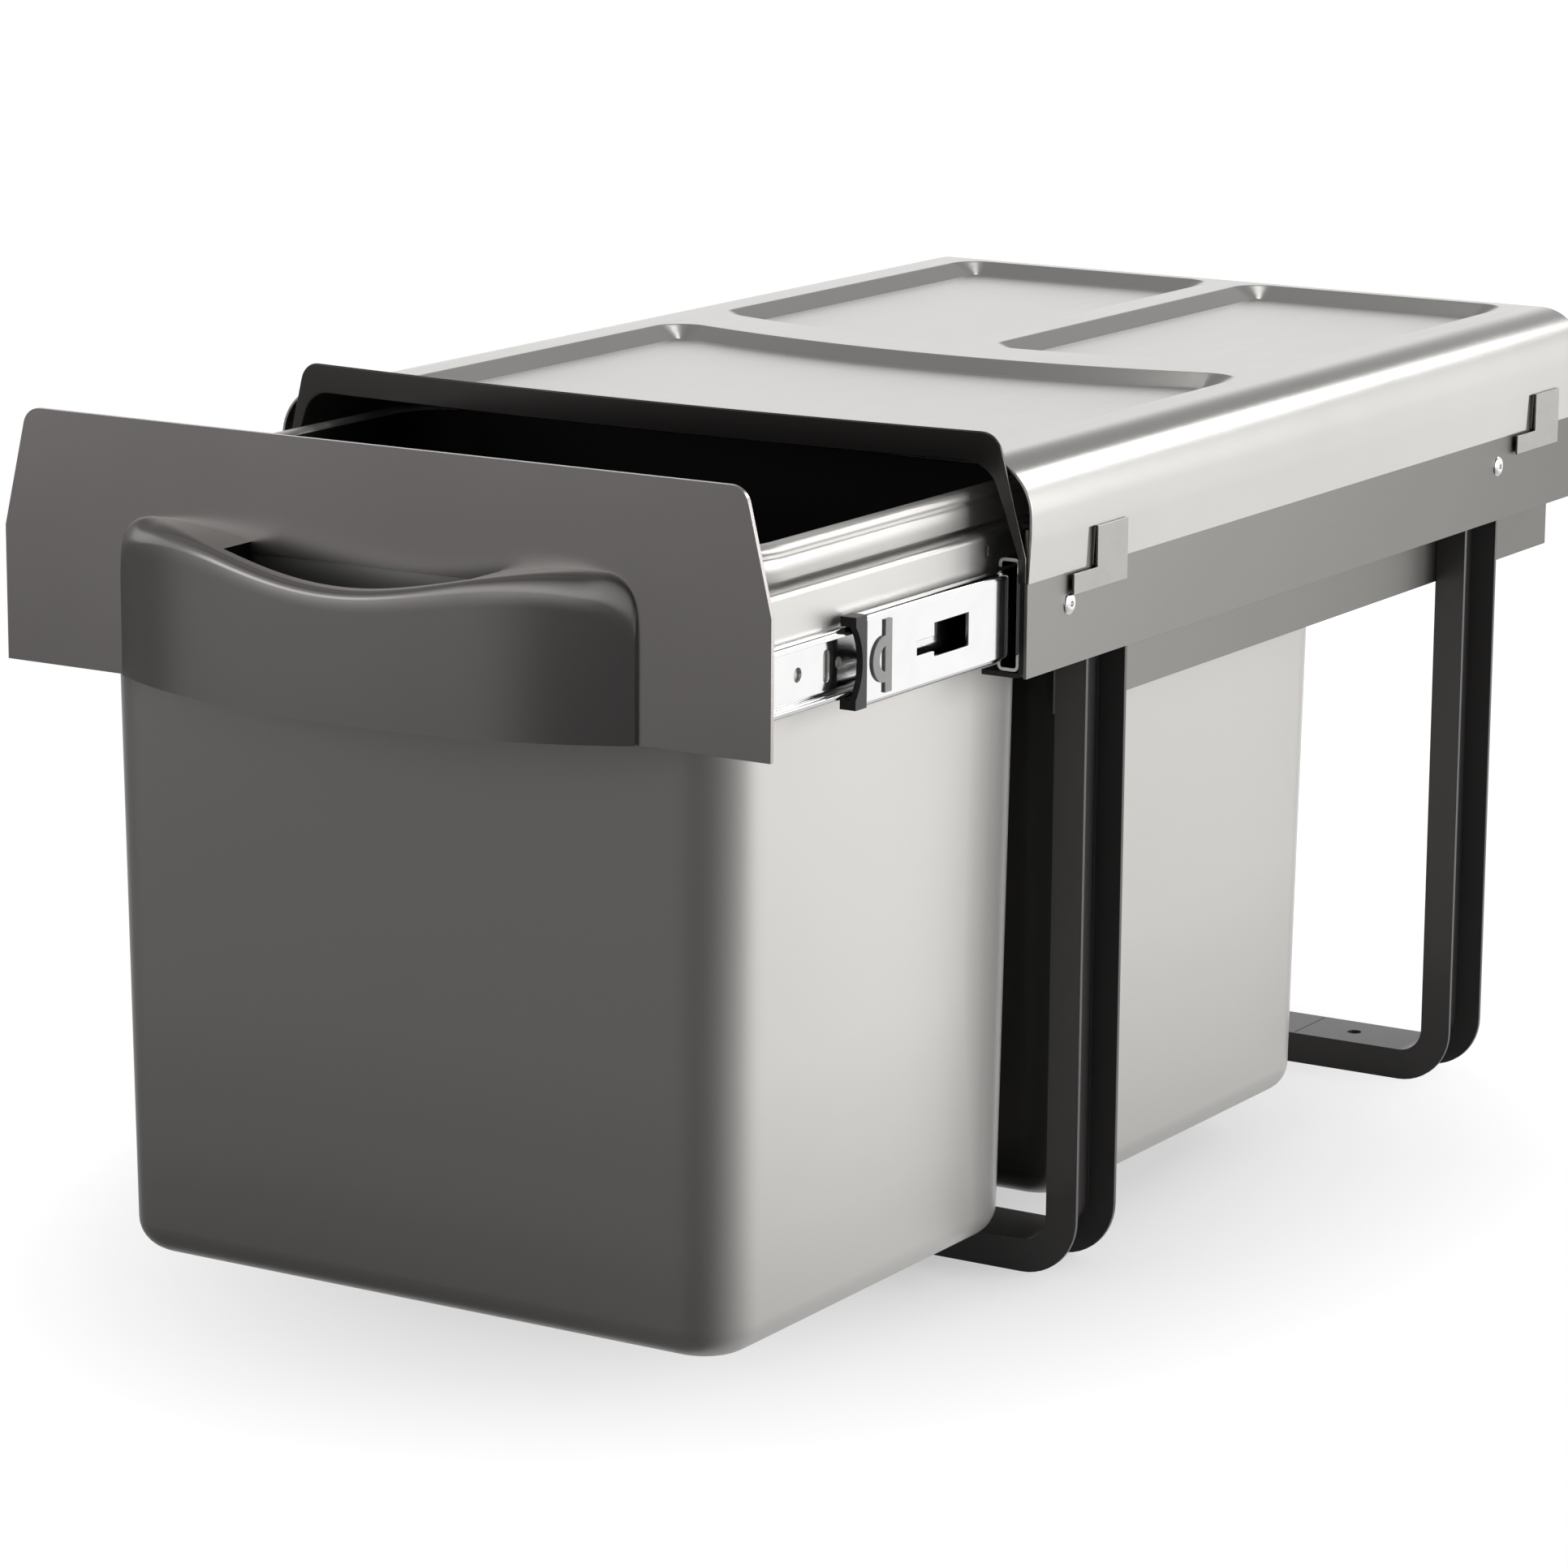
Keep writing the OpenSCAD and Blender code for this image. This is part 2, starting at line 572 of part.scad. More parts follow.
// drawer heights and depths; depths count from the plate's front
drail_up = 32;
drail_down = 15;
cross_t = 2;
cross_gap = 2;
bin_front = 14;
bin_rear = 14;
foot_h = 1.8;
foot_gap = 1.2;
bin_mid = 1;
drail_top = slide_z + drail_up;
drail_low = slide_z - drail_down;
rim_low = drail_top + cross_t;
rim_top = rim_low + bin_collar;
bin_z = hoop_flange + foot_gap + foot_h;
drail_l = drawer_shut + frame_end - tie_flange - tie_gap;
bin_w = 2 * (drail_x - drail_flange - bin_side);
bin_d = (drail_l - plate_t - bin_front - bin_gap - bin_rear) / 2;
bin1_y = plate_t + bin_front;
bin2_y = bin1_y + bin_d + bin_gap;

// folded drawer rail: web, inward top flange, front tab against the plate
drail_bend = 1;
tab_w = 22;
tab_drop = 20;
stud_r = 2.4;
stud_in = 12;
stud_low = 8;
stud_up = 6;
rail_slot_y = 182;
rail_slot_z = 7;
rail_slot_r = 1.4;
rail_slot_h = 1;
stud_x = drail_x - stud_in;
stud_z = [slide_z - stud_low, slide_z + stud_up];
module drawer_rail(s) in_drawer() on_side(s) difference() {
    union() {
        slab_y(inwards(drail_x, 0, folded(angle_line(drail_flange, drail_low, drail_top, drail_t, drail_bend), drail_t)),
            plate_t, drail_l);
        block([drail_x - tab_w, plate_t, drail_low], [drail_x, plate_t + drail_t, drail_top - tab_drop]);
    }
    for (z = stud_z) bar_y([stud_x, plate_t - over, z], stud_r + seat, drail_t + 2 * over);
    for (m = [1, -1]) bar_x([drail_x - drail_t - over, rail_slot_y, drail_top - rail_slot_z + m * rail_slot_h],
        rail_slot_r, drail_t + 2 * over);
}
module drawer_rail_right() color([0.78, 0.77, 0.75]) drawer_rail(1);
module drawer_rail_left() color([0.78, 0.77, 0.75]) drawer_rail(-1);

// cross rails: flat bar on the rails' flanges with a down-turned leg between them
cross_leg = 16;
cross_in = 2.5;
module cross_rail(y0, y1, leg_y) color([0.75, 0.74, 0.72]) in_drawer() {
    end_x = drail_x - drail_flange - seat;
    block([-drail_x + cross_in, y0, drail_top], [drail_x - cross_in, y1, rim_low]);
    block([-end_x, leg_y, drail_top - cross_leg], [end_x, leg_y + cross_t, drail_top]);
}
module cross_rail_front() cross_rail(plate_t + seat, bin1_y - cross_gap, plate_t + seat);
module cross_rail_middle() cross_rail(bin1_y + bin_d + cross_gap, bin2_y - cross_gap, bin2_y - (bin_gap + cross_t) / 2);
module cross_rail_rear() cross_rail(bin2_y + bin_d + cross_gap, drail_l, drail_l - cross_t);

// bent front plate with cut-off corners and the finger cut-out behind the grip
plate_z = panel_z;
plate_top_in = 11.6;
plate_r = 8;
cut_side = 33.3;
cut_foot = 14;
cut_h = 40.5;
grip_screw_in = 19;
grip_screw_up = 9;
grip_screw_r = 1.8;
plate_w = cover_w - 2 * plate_side;
grip_half = grip_w / 2;
grip_screw_x = grip_half - grip_screw_in;
grip_screw_z = plate_z + grip_screw_up;
// shield outline: straight lower sides, sloped upper sides, round top corners
module shield(w0, w1, z0, zb, z1, r, y0, y1) {
    lean = atan2(w0 - w1, z1 - zb);
    zc = z1 - r;
    xc = w0 - (zc - zb) * tan(lean) - r / cos(lean);
    tx = xc + r * cos(lean);
    tz = zc + r * sin(lean);
    slab_y([[-w0, z0], [w0, z0], [w0, zb], [tx, tz], [xc, zc], [xc, z1],
        [-xc, z1], [-xc, zc], [-tx, tz], [-w0, zb]], y0, y1);
    for (s = [1, -1]) bar_y([s * xc, y0, zc], r, y1 - y0);
}
module front_plate() color([0.36, 0.35, 0.345]) in_drawer() difference() {
    cut_x = grip_half - cut_side;
    shield(plate_w / 2, plate_w / 2 - plate_top_in, plate_z, plate_z + plate_break_h, plate_z + plate_h, plate_r, 0, plate_t);
    block([-cut_x, -over, plate_z + cut_foot], [cut_x, plate_t + over, plate_z + cut_foot + cut_h]);
    for (s = [1, -1]) bar_y([s * grip_screw_x, -over, grip_screw_z], grip_screw_r + seat, plate_t + 2 * over);
}

// moulded grip: bowed wall, floor, end walls, dipped lip, screw bosses
grip_corner = 14;
grip_parts = 20;
grip_power = 2.5;
grip_edge = 1.6;
grip_boss = 7;
pilot_r = 1.5;
pilot_l = 7;
dip_side = 19;
module grip_lens(off, z0, z1) translate([0, 0, z0]) linear_extrude(z1 - z0)
    polygon(concat([[-grip_half + off, 0]], bow(grip_half - off, grip_bow - grip_edge - off, -grip_edge, grip_power, grip_parts),
        [[grip_half - off, 0]]));
module grip() color([0.14, 0.138, 0.135]) in_drawer() difference() {
    top = plate_z + grip_h;
    dip_x = grip_half - dip_side;
    side = concat([[grip_half + over, plate_z - over], [grip_half + over, top - grip_corner]],
        arc(grip_half - grip_corner, top - grip_corner, grip_corner, 0, 90, corner_parts));
    dip = [for (i = [1 : grip_parts - 1]) let (k = 1 - 2 * i / grip_parts)
        [dip_x * k, top - grip_dip * (1 + cos(180 * k)) / 2]];
    intersection() {
        union() {
            difference() {
                grip_lens(0, plate_z, top);
                grip_lens(grip_t, plate_z + grip_t, top + over);
            }
            for (s = [1, -1]) intersection() {
                grip_lens(0, plate_z, top);
                bar_y([s * grip_screw_x, -grip_bow, grip_screw_z], grip_boss, grip_bow);
            }
        }
        slab_y(concat(side, dip, mirrored(side)), -grip_bow - over, over);
    }
    for (s = [1, -1]) bar_y([s * grip_screw_x, -pilot_l, grip_screw_z], pilot_r, pilot_l + over);
}

// pan-head screws from behind the plate into the grip
pan_r = 3.6;
pan_h = 2.2;
pan_l = 6;
module grip_screws() color([0.7, 0.7, 0.7]) in_drawer() for (s = [1, -1]) {
    bar_y([s * grip_screw_x, plate_t, grip_screw_z], pan_r, pan_h);
    bar_y([s * grip_screw_x, -pan_l, grip_screw_z], pilot_r, pan_l + plate_t + pan_h / 2);
}

// welded studs on the plate's back with nuts that hold the drawer rails' tabs
stud_l = 8.5;
nut_r = 4.4;
nut_h = 3.6;
module plate_fasteners() color([0.7, 0.7, 0.7]) in_drawer() right_left() for (z = stud_z) {
    bar_y([stud_x, plate_t, z], stud_r, stud_l);
    translate([stud_x, plate_t + drail_t, z]) rotate([-90, 0, 0]) cylinder(r = nut_r, h = nut_h, $fn = 6);
}

// tub prism along Y or X: sloped side walls, top at z1
module tub_y(x0, x1, y0, y1, z0, z1, run) slab_y([[x0, z1], [x0 + run, z0], [x1 - run, z0], [x1, z1]], y0, y1);
module tub_x(x0, x1, y0, y1, z0, z1, run) slab_x([[y0, z1], [y0 + run, z0], [y1 - run, z0], [y1, z1]], x0, x1);
// bin shell: drafted walls, round corners, rounded lower edges
module bin_form(x0, x1, y0, y1, z0, z1, r, draft, foot) {
    cx0 = x0 + r;
    cx1 = x1 - r;
    cy0 = y0 + r;
    cy1 = y1 - r;
    rb = r - draft;
    zr = z0 + foot;
    tub_y(x0, x1, cy0, cy1, zr, z1, draft);
    tub_x(cx0, cx1, y0, y1, zr, z1, draft);
    for (x = [cx0, cx1], y = [cy0, cy1]) {
        translate([x, y, zr]) cylinder(r1 = rb, r2 = r, h = z1 - zr);
        translate([x, y, zr]) rotate_extrude() intersection() {
            union() {
                translate([rb - foot, 0]) circle(r = foot);
                translate([0, -foot]) square([rb - foot, 2 * foot]);
            }
            translate([0, -foot]) square([rb, foot]);
        }
    }
    fx0 = x0 + draft + foot;
    fx1 = x1 - draft - foot;
    fy0 = y0 + draft + foot;
    fy1 = y1 - draft - foot;
    for (y = [fy0, fy1]) bar_x([cx0, y, zr], foot, cx1 - cx0);
    for (x = [fx0, fx1]) bar_y([x, cy0, zr], foot, cy1 - cy0);
    block([cx0, fy0, z0], [cx1, fy1, zr]);
    block([fx0, cy0, z0], [fx1, cy1, zr]);
}
// straight collar with round corners, grown by g from the bin's body
module collar(x0, x1, y0, y1, z0, z1, r, g) {
    block([x0 + r, y0 - g, z0], [x1 - r, y1 + g, z1]);
    block([x0 - g, y0 + r, z0], [x1 + g, y1 - r, z1]);
    for (x = [x0 + r, x1 - r], y = [y0 + r, y1 - r]) bar_z([x, y, z0], r + g, z1 - z0);
}
// bin with a stepped rim that is hollow below, and four low feet
rim_step = 2.2;
rim_set = 1.2;
rim_t = 2;
rim_roof = 8.8;
foot_r = 12;
foot_side = 8;
foot_y = 44;
module bin(x0, x1, y0, r) {
    y1 = y0 + bin_d;
    difference() {
        union() {
            bin_form(x0, x1, y0, y1, bin_z, rim_top, r, bin_draft, bin_foot_r);
            for (k = [0 : 2]) collar(x0, x1, y0, y1, rim_low, rim_top - (2 - k) * rim_step, r, bin_rim - k * rim_set);
            for (x = [x0 + r + foot_side, x1 - r - foot_side], y = [y0 + foot_y, y1 - foot_y])
                bar_z([x, y, bin_z - foot_h], foot_r, foot_h + over);
        }
        difference() {
            collar(x0, x1, y0, y1, rim_low - over, rim_top - rim_roof, r, bin_rim - rim_t);
            collar(x0, x1, y0, y1, rim_low - 2 * over, rim_top, r, 0);
        }
        bin_form(x0 + bin_wall, x1 - bin_wall, y0 + bin_wall, y1 - bin_wall,
            bin_z + bin_wall, rim_top + over, r - bin_wall, bin_draft, bin_foot_r - bin_wall);
    }
}
module front_bin() color([0.55, 0.545, 0.535]) in_drawer() bin(-bin_w / 2, bin_w / 2, bin1_y, bin_r);
module rear_bin(s) in_drawer() on_side(s) bin(bin_mid + bin_rim, bin_w / 2, bin2_y, rear_r);
module rear_bin_left() color([0.55, 0.545, 0.535]) rear_bin(-1);
module rear_bin_right() color([0.55, 0.545, 0.535]) rear_bin(1);

cover();
cover_trim();
side_panel_right();
side_panel_left();
frame_rail_right();
frame_rail_left();
hoop_front();
hoop_rear();
strip_right();
strip_left();
rivets();
clips_right();
clips_left();
back_tie();
slide_outer_right();
slide_outer_left();
slide_middle_right();
slide_middle_left();
slide_bumpers();
slide_stops();
ball_cages_outer();
ball_cages_inner();
slide_inner_right();
slide_inner_left();
drawer_rail_right();
drawer_rail_left();
cross_rail_front();
cross_rail_middle();
cross_rail_rear();
front_plate();
grip();
grip_screws();
plate_fasteners();
front_bin();
rear_bin_left();
rear_bin_right();
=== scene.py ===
import json
import math

import bmesh
import bpy
import numpy as np
from mathutils import Matrix, Vector

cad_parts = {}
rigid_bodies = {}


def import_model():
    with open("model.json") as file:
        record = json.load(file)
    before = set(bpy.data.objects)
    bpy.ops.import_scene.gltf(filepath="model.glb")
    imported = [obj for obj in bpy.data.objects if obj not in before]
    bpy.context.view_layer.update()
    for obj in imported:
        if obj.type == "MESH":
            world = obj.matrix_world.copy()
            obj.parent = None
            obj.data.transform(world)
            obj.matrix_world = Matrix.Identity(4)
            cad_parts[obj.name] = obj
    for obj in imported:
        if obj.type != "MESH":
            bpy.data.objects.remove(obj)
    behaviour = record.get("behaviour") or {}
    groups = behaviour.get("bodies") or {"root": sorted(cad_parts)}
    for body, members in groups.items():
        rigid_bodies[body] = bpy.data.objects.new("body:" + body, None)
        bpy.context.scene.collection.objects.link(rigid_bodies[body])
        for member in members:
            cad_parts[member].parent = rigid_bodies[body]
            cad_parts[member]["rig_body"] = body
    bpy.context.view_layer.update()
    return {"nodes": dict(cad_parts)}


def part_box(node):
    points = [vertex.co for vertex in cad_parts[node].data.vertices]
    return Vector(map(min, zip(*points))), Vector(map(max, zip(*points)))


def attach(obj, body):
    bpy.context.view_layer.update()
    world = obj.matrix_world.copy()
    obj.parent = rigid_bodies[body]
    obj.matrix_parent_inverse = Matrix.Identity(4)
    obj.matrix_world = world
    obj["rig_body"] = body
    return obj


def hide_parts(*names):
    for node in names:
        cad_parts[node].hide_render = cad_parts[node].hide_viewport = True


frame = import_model()
MM = 0.001


# Camera: a long lens from the front right and a little above. Its place, turn and focal length were
# solved from the straight edges of the unit.
def into_scene(name, data):
    """A new object that shows this data."""
    obj = bpy.data.objects.new(name, data)
    bpy.context.scene.collection.objects.link(obj)
    return obj


camera_at = Vector((1.2487, -2.0727, 0.7060))
turn, dip, lean = math.radians(31.625), math.radians(12.55), math.radians(0.423)
lens_mm, sensor_mm = 131.93, 36
ahead = Vector((-math.sin(turn) * math.cos(dip), math.cos(turn) * math.cos(dip), -math.sin(dip)))
level = Vector((math.cos(turn), math.sin(turn), 0))
upright = level.cross(ahead)
right = level * math.cos(lean) + upright * math.sin(lean)
up = upright * math.cos(lean) - level * math.sin(lean)
camera_data = bpy.data.cameras.new("camera")
camera_data.lens = lens_mm
camera_data.sensor_width = sensor_mm
camera_data.clip_end = 50
camera = into_scene("camera", camera_data)
pose = Matrix((right, up, -ahead)).transposed().to_4x4()
pose.translation = camera_at
camera.matrix_world = pose
bpy.context.scene.camera = camera
bpy.context.scene.view_settings.view_transform = "Standard"


# Light: a soft box behind and to the right draws the highlight along the cover's bend, a large one
# at the right lights the right sides, a weak one at the left the front, and one overhead the trays.
# The room is bright low behind the unit and dark above. Only the metal sees its pale front side.
def soft_box(name, place, target, wide, tall, watts):
    data = bpy.data.lights.new(name, "AREA")
    data.shape = "RECTANGLE"
    data.size, data.size_y = wide, tall
    data.energy = watts
    lamp = into_scene(name, data)
    lamp.location = place
    lamp.rotation_euler = (Vector(target) - Vector(place)).to_track_quat("-Z", "Y").to_euler()


soft_box("lamp_behind", (1.02, 2.1, 1.56), (0.1, 0.1, 0.3), 1.2, 0.46, 10)
soft_box("lamp_right", (2.4, 1.1, 0.7), (0, 0, 0.15), 1.9, 1.4, 46)
soft_box("lamp_left", (-2.2, -2.4, 0.9), (0, 0, 0.25), 1.4, 1.2, 4)
soft_box("lamp_above", (-0.45, 1.45, 2.75), (-0.1, 0.2, 0.3), 0.55, 0.5, 3)


class Value:
    """A socket that takes part in Python sums. Each sum adds the Math node that it stands for."""
    def __init__(self, shading, socket):
        self.shading, self.socket = shading, socket

    def sum_of(self, operation, a, b):
        return self.shading.node("ShaderNodeMath", {"operation": operation}, {0: a, 1: b})

    def __add__(self, other):
        return self.sum_of("ADD", self, other)

    def __radd__(self, other):
        return self.sum_of("ADD", other, self)

    def __sub__(self, other):
        return self.sum_of("SUBTRACT", self, other)

    def __rsub__(self, other):
        return self.sum_of("SUBTRACT", other, self)

    def __mul__(self, other):
        return self.sum_of("MULTIPLY", self, other)

    def __rmul__(self, other):
        return self.sum_of("MULTIPLY", other, self)

    def most(self, other):
        return self.sum_of("MAXIMUM", self, other)


class Shading:
    """A shader node tree. Its nodes come from one method, and what that returns is a Value."""
    def __init__(self, tree):
        self.tree = tree

    def node(self, kind, settings, sockets, out=0):
        made = self.tree.nodes.new(kind)
        for key, value in settings.items():
            setattr(made, key, value)
        for key, value in sockets.items():
            if isinstance(value, Value):
                self.tree.links.new(value.socket, made.inputs[key])
            else:
                made.inputs[key].default_value = value
        return Value(self, made.outputs[out])

    def fit(self, value, low, high, to_low, to_high, ease="LINEAR"):
        """The value's range from low to high, brought to the range from to_low to to_high."""
        return self.node("ShaderNodeMapRange", {"interpolation_type": ease}, {
            "Value": value, "From Min": low, "From Max": high, "To Min": to_low, "To Max": to_high})

    def part(self, vector, axis):
        return self.node("ShaderNodeSeparateXYZ", {}, {"Vector": vector}, axis)


world = bpy.data.worlds.new("studio")
world.use_nodes = True
bpy.context.scene.world = world
room = Shading(world.node_tree)
toward = room.node("ShaderNodeTexCoord", {}, {}, "Generated")


def side_of_room(way, start, full, bright):
    """Light from one side: the way to it, where it starts and is full, and how bright it is."""
    facing = room.node("ShaderNodeVectorMath", {"operation": "DOT_PRODUCT"}, {0: toward, 1: way}, "Value")
    return room.fit(facing, start, full, 0.0, bright, "SMOOTHSTEP")


rear_side = side_of_room((-0.25, 0.96, 0.05), -0.25, 0.80, 0.88)
front_side = side_of_room((-0.33, -0.944, 0.0), 0.60, 0.94, 0.24)
front_for_metal = side_of_room((-0.25, -0.96, 0.12), 0.10, 0.85, 0.42)
above = room.fit(room.part(toward, "Z"), 0.27, 0.38, 1.24, 0.31, "SMOOTHSTEP")
off_metal = room.node("ShaderNodeLightPath", {}, {}, "Is Glossy Ray")
to_camera = room.node("ShaderNodeLightPath", {}, {}, "Is Camera Ray")
level_of_room = 0.05
bright = rear_side * above + front_side + front_for_metal * off_metal + level_of_room
backdrop = room.tree.nodes["Background"]
backdrop.inputs["Color"].default_value = (1, 1, 1, 1)
room.tree.links.new(to_camera.most(bright).socket, backdrop.inputs["Strength"])


# Floor: a plain pale sheet. The camera sees it fade to white away from the unit, where it keeps the
# soft shadow, and in front of the unit it gives little light back, like a studio's dark cloth.
class Finish(Shading):
    """A material with its own node tree, whose patterns lie in the object's own coordinates."""
    def __init__(self, name, slot=None, **constants):
        self.material = bpy.data.materials.new(name)
        self.material.use_nodes = True
        self.slot = slot
        super().__init__(self.material.node_tree)
        self.shader = self.tree.nodes["Principled BSDF"]
        for key, value in constants.items():
            self.shader.inputs[key.replace("_", " ")].default_value = value
        self.place = self.node("ShaderNodeTexCoord", {}, {}, "Object")

    def noise(self, scale, detail=2.0, rough=0.5, stretch=(1, 1, 1)):
        at = self.node("ShaderNodeMapping", {}, {"Vector": self.place, "Scale": stretch})
        return self.node("ShaderNodeTexNoise", {}, {
            "Vector": at, "Scale": scale, "Detail": detail, "Roughness": rough})

    def blend(self, share, a, b):
        return self.node("ShaderNodeMix", {"data_type": "RGBA"}, {0: share, 6: a, 7: b}, 2)

    def colour(self, red, green, blue):
        return self.node("ShaderNodeCombineColor", {}, {0: red, 1: green, 2: blue})

    def feed(self, name, value):
        self.tree.links.new(value.socket, self.shader.inputs[name])

    def bump(self, height, deep, strength=1.0):
        self.feed("Normal", self.node("ShaderNodeBump", {}, {
            "Strength": strength, "Distance": deep, "Height": height}))


floor_r = 5.0
paper = Finish("paper", Roughness=0.9, Specular_IOR_Level=0.1)
flat = paper.node("ShaderNodeMapping", {}, {"Vector": paper.place, "Scale": (1.5, 1.0, 0.0)})
far = paper.node("ShaderNodeVectorMath", {"operation": "LENGTH"}, {0: flat}, "Value")
whiteness = paper.fit(far, 0.20, 0.44, 0.5, 1.0)
from_front = paper.part(paper.place, "Y")
by_eye = paper.node("ShaderNodeLightPath", {}, {}, "Is Camera Ray")
cloth = paper.fit(from_front, -0.75, -0.1, 0.10, 0.80)
grain = paper.noise(220, 2)
shade = cloth + by_eye * (0.92 - cloth) + grain * 0.01
paper.feed("Base Color", paper.colour(shade, shade, shade))
mirrored = paper.node("ShaderNodeLightPath", {}, {}, "Is Glossy Ray").most(
    paper.node("ShaderNodeLightPath", {}, {}, "Is Transmission Ray"))
# What the metal mirrors of the floor goes by the way of the ray: bright behind, dark in front but for
# a pale card at the front left, and darker the steeper the ray falls.
back_to = paper.node("ShaderNodeNewGeometry", {}, {}, "Incoming")
level_way = paper.node("ShaderNodeVectorMath", {"operation": "MULTIPLY"}, {0: back_to, 1: (1, 1, 0)}, "Vector")
level_way = paper.node("ShaderNodeVectorMath", {"operation": "NORMALIZE"}, {0: level_way}, "Vector")
leftward, forward, steep = paper.part(level_way, "X"), paper.part(level_way, "Y"), paper.part(back_to, "Z")
card = paper.fit(leftward, -0.14, 0.0, 0.0, 1.0) * paper.fit(forward, 0.17, 0.36, 0.0, 1.0)
at_right = paper.fit(forward, 0.80, -0.85, 0.045, 1.10)
at_left = paper.fit(forward, -0.20, -0.85, 0.11, 1.12)
around = at_right + (at_left - at_right) * paper.fit(leftward, 0.0, 0.15, 0.0, 1.0)
seen = around * paper.fit(steep, 0.25, 0.35, 1.0, 0.62) + card * paper.fit(steep, 0.220, 0.245, 0.155, 0.0)
lit = by_eye * whiteness + mirrored
glow = paper.node("ShaderNodeEmission", {}, {"Color": (1, 1, 1, 1), "Strength": by_eye.most(seen)})
mixed = paper.node("ShaderNodeMixShader", {}, {0: lit, 1: Value(paper, paper.shader.outputs[0]), 2: glow})
paper.tree.links.new(mixed.socket, paper.tree.nodes["Material Output"].inputs["Surface"])
bm = bmesh.new()
bmesh.ops.create_circle(bm, cap_ends=True, segments=96, radius=floor_r)
floor_mesh = bpy.data.meshes.new("floor")
bm.to_mesh(floor_mesh)
bm.free()
floor_mesh.materials.append(paper.material)
into_scene("floor", floor_mesh)


# Cover: one pressed steel sheet with a silver coat. Three trays are sunk into its top, its sides
# are bent down over a large radius, and its rear edge is folded down. It hooks onto the side panels.
silver = Finish("silver_sheet", "silver_sheet", Metallic=0.92)
streaks = silver.noise(900, 3, 0.6, (1, 0.03, 1))
cloud = silver.noise(9, 3, 0.55)
silver.feed("Base Color", silver.blend(cloud, (0.575, 0.562, 0.54, 1), (0.635, 0.622, 0.60, 1)))
silver.feed("Roughness", 0.21 + cloud * 0.04 + streaks * 0.05)
silver.bump(streaks, 0.015 * MM, 0.3)


def settle(obj):
    """Works the object's modifiers into its mesh."""
    bpy.context.view_layer.update()
    made = bpy.data.meshes.new_from_object(obj.evaluated_get(bpy.context.evaluated_depsgraph_get()))
    obj.modifiers.clear()
    obj.data = made


def break_edges(obj, width, angle):
    """Rounds the edges that turn by more than the angle, and keeps the faces between them flat."""
    bevel = obj.modifiers.new("edge", "BEVEL")
    bevel.width, bevel.segments, bevel.limit_method = width, 2, "ANGLE"
    bevel.angle_limit = math.radians(angle)
    obj.modifiers.new("even", "WEIGHTED_NORMAL").keep_sharp = True


def piece(name, bm, finish, edge=0.0, wall=0.0, angle=35):
    """A mesh piece from bm, with a wall grown inwards and its edges rounded where asked."""
    mesh = bpy.data.meshes.new(name)
    bm.to_mesh(mesh)
    bm.free()
    mesh.shade_smooth()
    mesh.materials.append(finish.material)
    obj = into_scene(name, mesh)
    if wall:
        solid = obj.modifiers.new("wall", "SOLIDIFY")
        solid.thickness, solid.offset, solid.use_even_offset = wall, -1, True
    if edge:
        break_edges(obj, edge, angle)
    if wall or edge:
        settle(obj)
    if not edge:
        obj.data.set_sharp_from_angle(angle=math.radians(angle))
    return obj


def strip_faces(bm, a, b, closed=False):
    """Quads between two rows of vertices."""
    count = len(a) if closed else len(a) - 1
    for i in range(count):
        j = (i + 1) % len(a)
        bm.faces.new((a[i], a[j], b[j], b[i]))


def arc_of(cx, cy, r, start, end, count, sign=1):
    """Points on an arc, each with the direction that leads out of the shape."""
    found = []
    for a in np.radians(np.linspace(start, end, count)):
        found.append((cx + r * math.cos(a), cy + r * math.sin(a), sign * math.cos(a), sign * math.sin(a)))
    return found


cover_low, cover_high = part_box("cover")
half_w, cover_top, skirt_low = cover_high.x, cover_high.z, cover_low.z
bend_r, sheet, rear_round, rear_low = 22 * MM, 1.2 * MM, 2.5 * MM, cover_high.z - 30 * MM
tray_deep, tray_run, tray_r = 5.2 * MM, 12 * MM, 15 * MM
tray_x = half_w - 34 * MM
zero = cover_low.y - 1.9 * MM          # the plane of the front trim's face
tray_front, tray_rear = zero + 24 * MM, cover_high.y - 8 * MM
arc_r, land = 461 * MM, 33 * MM
arc_y = zero + 231 * MM + arc_r
notch_at = [zero + 48.5 * MM, zero + 463.5 * MM]
notch_wide, notch_top = 5.5 * MM, skirt_low + 16 * MM
lid_half = half_w - bend_r
rows = [cover_low.y] + [y for n in notch_at for y in (n, n + notch_wide)] + [cover_high.y - rear_round]
bends = np.radians(np.linspace(180, 90, 15))


def cover_profile(inset):
    """One side of the cover's section, skirt edge to lid edge, moved in by inset."""
    skirt = ((1.1 * MM, skirt_low), (0.2 * MM, notch_top), (0, rear_low))
    r = bend_r - inset
    return ([(-half_w + inset + tucked, z) for tucked, z in skirt]
            + [(-lid_half + r * math.cos(a), cover_top - bend_r + r * math.sin(a)) for a in bends])


